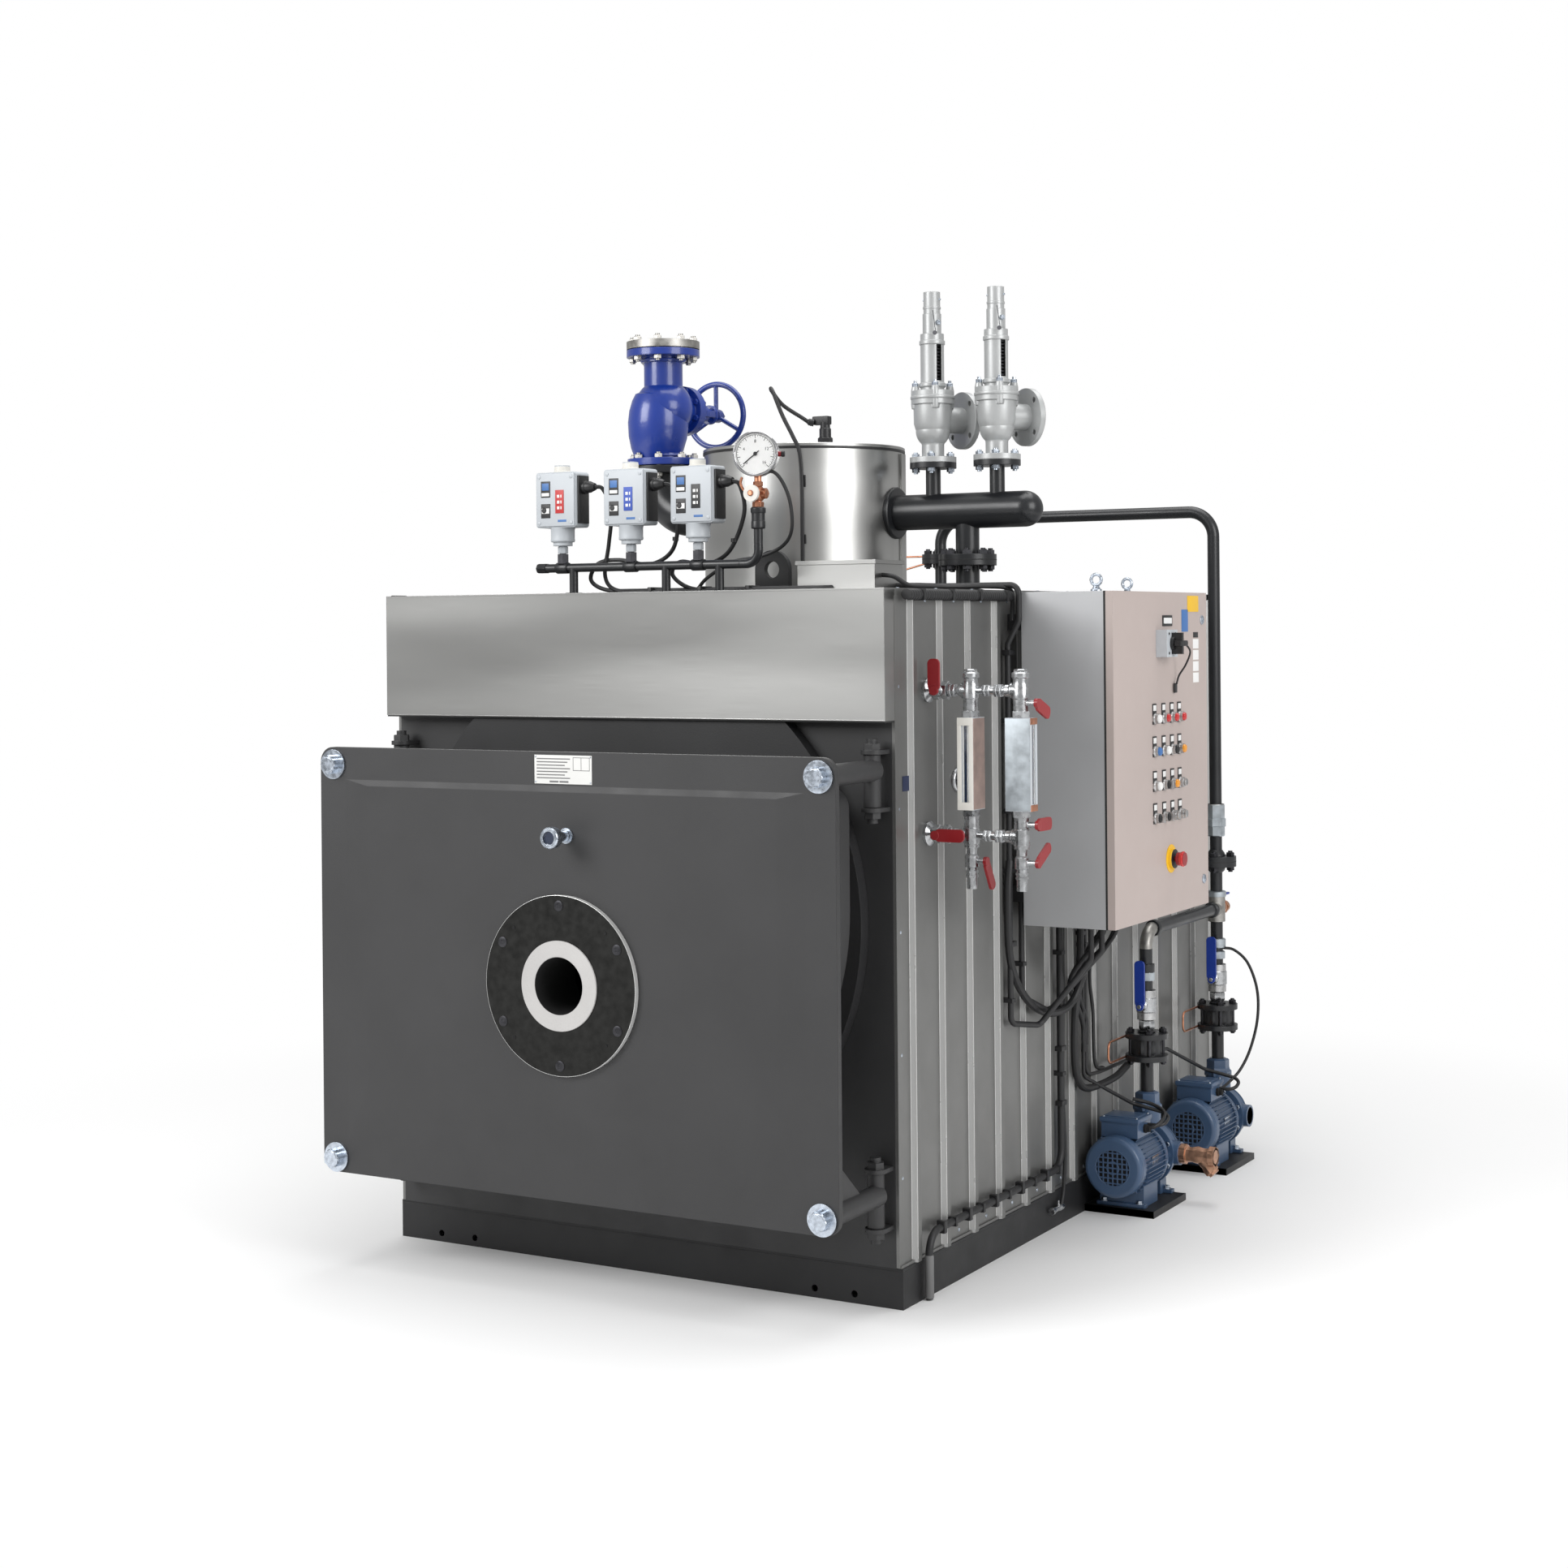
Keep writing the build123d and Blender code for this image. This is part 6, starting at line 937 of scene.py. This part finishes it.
def dress_level_gauges():
    """Fittings, glasses, frames and clamps of the two level gauges, and the ring of the plug beside them."""
    fittings = bmesh.new()
    for z in (UPPER_Z, LOWER_Z):
        turned(fittings, (SIDE, GAUGE_LINE, z), RIGHT, [(7, 35), (9, 35.5), (12, 33), (17, 24), (22, 20)], 40)
        for x, radius in ((898, 24), (948, 20), (1054, 18), (1090, 20)):
            union_nut(fittings, (x, GAUGE_LINE, z), RIGHT, radius)
        turned(fittings, (912, GAUGE_LINE, z), FRONT, [(0, 19), (14, 19), (18, 15), (24, 15), (30, 11), (38, 9)], 28)
        turned(fittings, (1108, GAUGE_LINE, z), RIGHT, [(0, 14), (4, 17), (22, 17), (26, 22), (48, 22)], 28)
        for x in GAUGE_X:
            turned(fittings, (x, GAUGE_LINE, z), LEFT, [(0, 22), (26, 22), (29, 18), (34, 16)], 28)
    for x in GAUGE_X:
        stack(fittings, x, GAUGE_LINE, (UPPER_Z - 26, 32, (0, 19), (4, 23.5), (44, 23.5), (48, 21), (54, 21)),
              (UPPER_Z + 34, 32, (0, 22), (3, 25), (14, 25), (17, 22)), (UPPER_Z + 50, 6, (0, 20), (8, 19), (10, 16)),
              (LOWER_Z - 28, 32, (0, 19), (4, 23), (48, 23), (52, 19)), (1208, 28, (0, 12), (4, 20), (34, 20),
                                                                         (40, 15)))
        union_nut(fittings, (x, GAUGE_LINE, 1192), UP, 18)
        turned(fittings, (x, GAUGE_LINE, 1180), DOWN, [(0, 11), (14, 11), (18, 8), (30, 8)], 20)
    piece("level_gauge_fittings", fittings, "cock_chrome")
    inner = (1391, 1611)
    for name, finish, *boxes in (
            ("gauge_frame_cream", "cream",
             ((979, 1027), (153.2, 157), (1372, 1394), 1), ((979, 1027), (153.2, 157), (1608, 1630), 1),
             ((979, 991.5), (153.6, 157), (1390, 1612), 0.8), ((1014.5, 1027), (153.6, 157), (1390, 1612), 0.8)),
            ("gauge_backs", "label_white", ((992.5, 1013.5), (159.6, 160.6), inner),
             ((1189.4, 1190.4), (184, 204), inner)),
            ("gauge_tubes_dark", "lens",
             ((999, 1007), (157.4, 159.2), (1392, 1610), 0.5), ((1190.6, 1192.2), (190, 198), (1392, 1610), 0.5)),
            ("gauge_glasses", "glass", ((992.6, 1013.4), (156.2, 157.2), inner),
             ((1192.8, 1193.8), (184.2, 203.8), inner)),
            ("gauge_side_plate", "plate_rose", ((1026.6, 1028), (157, 231), (1374, 1628), 0.4)),
            ("gauge_front_plate", "galvanised", ((1119, 1193), (168.6, 170.2), (1374, 1628), 0.5))):
        single(name, finish, slabs, *boxes)
    ends = bmesh.new()
    for z in (1372, 1612):
        slab(ends, (1193, 1196), (172, 216), (z, z + 18), 1)
    for z in (1400, 1500, 1600):
        for x in (978.6, 1118.4):
            hexa(ends, (x, GAUGE_LINE, z), LEFT, 12, 8)
    piece("gauge_end_clamps", ends, "copper")
    single("wall_plug_ring", "cock_chrome", ring, (870, 386, 1441), RIGHT, 30, 6, 48)


# Pumps and their pipes

def dress_pumps():
    """Grilles, fins, lids, bolts and feet of the two feed pumps."""
    blue = bmesh.new()
    dark = bmesh.new()
    bolts = bmesh.new()
    plates = bmesh.new()
    for start in (1239, 1922):
        for y, segments, *profile in (
                (16, 64, (0, 97.6), (6, 98.4), (30, 98.4), (34, 97.2)), (214, 56, (0, 98), (3, 102), (14, 102),
                                                                         (17, 96)),
                (346, 56, (-8, 94), (0, 90), (4, 66), (9, 60), (9, 0)), (284, 56, (0, 103), (6, 96), (20, 94))):
            turned(blue, (PIPE_X, start + y, PUMP_Z), BACK, profile, segments)
        turned(dark, (PIPE_X, start + 4.2, PUMP_Z), FRONT, [(0, 57.8), (0.4, 57.8)], 48)
        for offset in range(-48, 49, 16):
            half = math.sqrt(58 ** 2 - offset ** 2)
            slabs(blue,
                  ((PIPE_X + offset - 2.2, PIPE_X + offset + 2.2), (start + 0.4, start + 4),
                   (PUMP_Z - half, PUMP_Z + half)),
                  ((PIPE_X - half, PIPE_X + half), (start + 0.2, start + 3.6),
                   (PUMP_Z + offset - 2.2, PUMP_Z + offset + 2.2)))
        for y, major, minor, around in ((2.4, 58.5, 3, 64), (2.6, 20, 2.4, 40)):
            ring(blue, (PIPE_X, start + y, PUMP_Z), BACK, major, minor, around, 8)
        for number in range(40):
            angle = math.radians(number * 9)
            if 62 < number * 9 < 118 or 238 < number * 9 < 302:
                continue
            way = Vector((math.cos(angle), 0, math.sin(angle)))
            across = Vector((-math.sin(angle), 0, math.cos(angle)))
            middle = Vector((PIPE_X, start + 54, PUMP_Z))
            corners = [at(*(middle + way * out + across * over))
                       for out, over in ((88, -1.7), (104, -1.2), (104, 1.2), (88, 1.7))]
            plate(blue, corners, BACK, 162 * MM)
        low = start + 62
        slabs(blue, ((924.5, 1055.5), (low - 3.5, low + 115.5), (289, 306.5), 4),
              ((938, 1042), (low + 10, low + 102), (306, 309), 1.5))
        pan_heads(bolts, [(PIPE_X + dx, low + 56 + dy, 306.5) for dx in (-56, 56) for dy in (-50, 50)], UP, 4.5, 3)
        for x, axis in ((928, LEFT), (1052, RIGHT)):
            turned(dark, (x, low + 60, 268), axis, [(0, 14), (8, 14), (10, 11), (20, 10)], 20)
        for place in spots((PIPE_X, start + 268, PUMP_Z), BACK, 92, 8, 22.5):
            hexa(bolts, place, FRONT, 15, 9)
        turned(blue, (PIPE_X, start + 307, 300), UP, [(-8, 48), (6, 48), (12, 42), (22, 40), (46, 40), (50, 34)], 6)
        turned(blue, (1060, start + 307, PUMP_Z), RIGHT, [(0, 44), (20, 40), (34, 38), (46, 38)], 40)
        for x in (930, 1050):
            for y in (start + 80, start + 320):
                hexa(bolts, (x, y, 36), UP, 18, 9)
                turned(bolts, (x, y, 34), UP, [(0, 14), (2, 14)], 20)
        for y in (start + 66, start + 306):
            slab(blue, (908, 1072), (y, y + 28), (22, 34), 2)
        slabs(plates, ((875, 1110), (start + 46, start + 50), (0, 22)),
              ((1106, 1110.5), (start + 46, start + 336), (0, 22.4), 0.8))
        slab(bolts, (1082.4, 1083.2), (start + 110, start + 165), (150, 182), 0.2)
    piece("pump_blue_parts", blue, "pump_blue")
    piece("pump_dark_parts", dark, "shadow")
    piece("pump_bolts", bolts, "zinc")
    piece("pump_plate_edges", plates, "frame_black")


def dress_risers():
    """Valve ends, unions, collars, drain cocks and cables of the feed pipes."""
    chrome = bmesh.new()
    for y in (NEAR_Y, FAR_Y):
        stack(chrome, PIPE_X, y, (588, 6, (0, 25), (5, 27), (20, 27)), (664, 6, (0, 27), (15, 27), (20, 25)),
              (606, 36, (0, 26), (8, 33.5), (52, 33.5), (60, 26)))
        turned(chrome, (PIPE_X, y - 30, 636), FRONT, [(0, 16), (8, 16), (12, 12), (22, 11)], 24)
        hexa(chrome, (PIPE_X, y - 62.5, 636), FRONT, 13, 6)
        turned(chrome, (PIPE_X, y, 556), UP, [(0, 25), (4, 27.5), (26, 27.5), (30, 25)], 8)
    piece("valve_chrome", chrome, "cock_chrome")
    grey = bmesh.new()
    turned(grey, (PIPE_X, NEAR_Y, 716), UP, [(0, 28), (3, 30), (26, 30), (29, 27), (36, 26)], 8)
    stack(grey, PIPE_X, FAR_Y, (704, 8, (0, 28), (3, 30), (24, 30), (27, 26)), (742, 28, (0, 27), (3, 31), (30, 31),
                                                                                (33, 27)),
          (926, 32, (-3, 33), (2, 34), (14, 34), (17, 30)), (1140, 8, (-4, 30), (0, 33), (30, 33), (32, 37), (58, 37),
                                                             (60, 33), (106, 33), (110, 28)))
    piece("galvanised_unions", grey, "galvanised")
    bronze = bmesh.new()
    turned(bronze, (PIPE_X, FAR_Y, 880), BACK, [(26, 24), (40, 24), (44, 17), (70, 17), (74, 20), (86, 20), (90, 15)],
           24)
    hexa(bronze, (PIPE_X, 2290, 880), BACK, 42, 12)
    turned(bronze, (PIPE_X, 2286, 880), UP, [(0, 12), (26, 12), (30, 9), (40, 9)], 20)
    turned(bronze, (1106, NEAR_Y, PUMP_Z), RIGHT, [(0, 33), (20, 33), (22, 26), (38, 24), (60, 29), (80, 24), (96, 26),
                                                   (98, 33), (118, 33), (118, 24), (112, 22)], 8)
    way = Vector((1, 0, -1)).normalized()
    turned(bronze, shifted((1165, NEAR_Y, PUMP_Z), way, 54), way, [(-12, 21), (0, 24), (14, 24), (18, 18), (24, 18)], 6)
    piece("bronze_fittings", bronze, "bronze")
    single("drain_handle_blue", "lever_blue", slab, (984, 996), (2280, 2352), (919, 927), 3)
    repaint("pump_risers", "nickel", lambda x, y, z, way: 588 < z < 684 or 1140 < z < 1250)
    repaint("pump_risers", "flange_steel", lambda x, y, z, way: (y < 1600 and z > 815) or (y > 2190 and 835 < z < 925))
    black = bmesh.new()
    turned(black, (PIPE_X, NEAR_Y, 740), UP, [(0, 26), (4, 28), (30, 28)], 28)
    for y in (NEAR_Y, FAR_Y):
        for z in (452, 548):
            turned(black, (PIPE_X, y, z - 5), UP, [(0, 26), (5, 30), (10, 26)], 28)
        turned(black, (PIPE_X, y, 500), UP, [(-26, 50), (-18, 53), (18, 53), (26, 50)], 8)
    turned(black, (PIPE_X, 1606, 880), BACK, [(0, 26), (6, 27.5), (20, 27.5), (24, 22)], 28)
    turned(black, (PIPE_X, 2168, 880), BACK, [(0, 22), (4, 27.5), (18, 27.5)], 28)
    stack(black, PIPE_X, FAR_Y, (1022, 32, (-14, 22), (-6, 30), (8, 34), (8, 22)),
          (1066, 32, (0, 34), (12, 29), (22, 22)))
    piece("riser_collars", black, "black_pipe")
    cables = bmesh.new()
    cable(cables, [(1011, FAR_Y, 742), (1050, 2240, 735), (1096, 2250, 690), (1130, 2246, 600), (1136, 2230, 500),
                   (1120, 2200, 400), (1096, 2160, 330), (1070, 2110, 290), (1058, 2070, 276)], 5)
    cable(cables, [(1060, 1361, 270), (1085, 1370, 276), (1098, 1400, 292), (1088, 1440, 312), (1040, 1452, 330),
                   (985, 1430, 345)], 6)
    piece("pump_cables", cables, "cable_black")
    single("drain_pipe", "cable_black", cable, [(888, 1096, 985), (888, 1092, 700), (888, 1085, 420), (888, 1098, 240),
                                                (888, 1086, 120), (889, 1062, 66)], 6)
    drain = bmesh.new()
    turned(drain, (889, 1062, 62), FRONT, [(-12, 8), (0, 10), (16, 10), (20, 8), (60, 8), (62, 11), (76, 11)], 20)
    turned(drain, (889, 1040, 62), UP, [(0, 6), (14, 6), (16, 4), (24, 4)], 16)
    piece("drain_cock", drain, "cock_chrome")


def dress_cables():
    """Clips and wrap of the cables on the right side, and the end of their conduit."""
    bm = bmesh.new()
    for y, z in ((694, 1805), (694, 1330), (694, 930), (1061, 688), (1061, 560), (1061, 389)):
        slab(bm, (880, 905), (y - 19, y + 19), (z - 8, z + 8), 3)
    for y in (208, 376, 560, 745, 930):
        slab(bm, (880, 906), (y - 9, y + 9), (170, 206), 3)
    piece("side_clips", bm, "plastic_black")
    bm = bmesh.new()
    for number in range(46):
        turned(bm, (896, 22 + number * 14.8, 1975), (0.25, 1, 0.25),
               [(-3.4, 14.6), (-1.6, 16.4), (1.6, 16.4), (3.4, 14.6)], 20)
    piece("bundle_wrap", bm, "cable_black")
    single("conduit_end", "conduit_grey", turned, (892, 128, 4), UP, [(0, 10), (3, 12.6), (118, 12.6), (122, 11.2)], 24)


# Stage

CAMERA_PLACE = (3.8966, -7.1594, 1.8818)
CAMERA_AZIMUTH = 29.828
CAMERA_ROLL = -0.5
CAMERA_LENS = 55.15
CAMERA_SHIFT_Y = -0.0989
BOILER_MIDDLE = Vector((0.0, 0.0, 1.2))
FLOOR_HALF = 60.0
FADE_START, FADE_END = 1.6, 4.0        # distances on the floor from the boiler's middle
LIGHT_ALL_ROUND = 0.5
WHITE = (1, 1, 1, 1)


def make_camera():
    """Camera at the photograph's viewing angle."""
    data = bpy.data.cameras.new("camera")
    data.lens = CAMERA_LENS
    data.sensor_width = 36.0
    data.shift_y = CAMERA_SHIFT_Y
    data.clip_end = 500.0
    camera = bpy.data.objects.new("camera", data)
    camera.location = CAMERA_PLACE
    turn = (Matrix.Rotation(math.radians(CAMERA_AZIMUTH), 3, "Z") @ Matrix.Rotation(math.radians(90), 3, "X")
            @ Matrix.Rotation(math.radians(CAMERA_ROLL), 3, "Z"))
    camera.rotation_euler = turn.to_euler()
    bpy.context.scene.collection.objects.link(camera)
    bpy.context.scene.camera = camera


def make_lamp(name, place, size, energy):
    """Square soft lamp that faces the boiler."""
    data = bpy.data.lights.new(name, "AREA")
    data.size = size
    data.energy = energy
    lamp = bpy.data.objects.new(name, data)
    lamp.location = place
    lamp.rotation_euler = (BOILER_MIDDLE - Vector(place)).to_track_quat("-Z", "Y").to_euler()
    bpy.context.scene.collection.objects.link(lamp)


def background_mask(tree):
    """One for camera and transmission rays, and nought for the rest."""
    rays = add_node(tree, "LightPath").outputs
    add = add_node(tree, "Math")
    add.operation = "ADD"
    add.use_clamp = True
    tree.links.new(rays["Is Camera Ray"], add.inputs[0])
    tree.links.new(rays["Is Transmission Ray"], add.inputs[1])
    return add.outputs["Value"]


def mix_into(tree, output, factor, first, second):
    """Mix two shaders into the tree's output."""
    mix = add_node(tree, "MixShader", Fac=factor)
    tree.links.new(first, mix.inputs[1])
    tree.links.new(second, mix.inputs[2])
    tree.links.new(mix.outputs["Shader"], tree.nodes[output].inputs["Surface"])


def make_world():
    """White background, and a plain level of light from all round."""
    world = bpy.data.worlds.new("studio")
    world.use_nodes = True
    bpy.context.scene.world = world
    tree = world.node_tree
    light = tree.nodes["Background"]
    light.inputs["Color"].default_value = WHITE
    light.inputs["Strength"].default_value = LIGHT_ALL_ROUND
    white = add_node(tree, "Background", Color=WHITE, Strength=1.0)
    mix_into(tree, "World Output", background_mask(tree), light.outputs["Background"], white.outputs["Background"])


def make_floor():
    """Pale floor that fades into the background away from the boiler."""
    material = bpy.data.materials.new("floor")
    material.use_nodes = True
    tree = material.node_tree
    shader = tree.nodes["Principled BSDF"]
    shader.inputs["Base Color"].default_value = (0.90, 0.90, 0.90, 1)
    shader.inputs["Roughness"].default_value = 0.9
    glow = add_node(tree, "Emission")
    length = add_node(tree, "VectorMath", Vector=add_node(tree, "TexCoord").outputs["Object"])
    length.operation = "LENGTH"
    fade = add_node(tree, "MapRange", Value=length.outputs["Value"], From_Min=FADE_START, From_Max=FADE_END)
    fade.interpolation_type = "SMOOTHSTEP"
    share = add_node(tree, "Math")
    share.operation = "MULTIPLY"
    tree.links.new(fade.outputs["Result"], share.inputs[0])
    tree.links.new(background_mask(tree), share.inputs[1])
    mix_into(tree, "Material Output", share.outputs["Value"], shader.outputs["BSDF"], glow.outputs["Emission"])
    bm = bmesh.new()
    bmesh.ops.create_grid(bm, x_segments=1, y_segments=1, size=FLOOR_HALF)
    mesh = bpy.data.meshes.new("floor")
    bm.to_mesh(mesh)
    bm.free()
    mesh.materials.append(material)
    floor = bpy.data.objects.new("floor", mesh)
    bpy.context.scene.collection.objects.link(floor)


def make_stage():
    """Camera, lamps, world and floor."""
    make_camera()
    make_lamp("key_lamp", (-3.5, -7.0, 5.0), 4.0, 420.0)
    make_lamp("fill_lamp", (7.0, -2.5, 4.0), 4.0, 260.0)
    make_lamp("top_lamp", (0.5, 0.5, 7.0), 5.0, 260.0)
    make_world()
    make_floor()
    bpy.context.scene.view_settings.view_transform = "Standard"


FINISH = make_materials()
dress_nodes()
dress_steam_valve()
dress_safety_valves()
dress_black_flanges()
dress_switches()
dress_gauge()
dress_top_cables()
make_drum_lid()
dress_cabinet()
dress_front()
dress_casing()
dress_level_gauges()
dress_pumps()
dress_risers()
dress_cables()
make_stage()
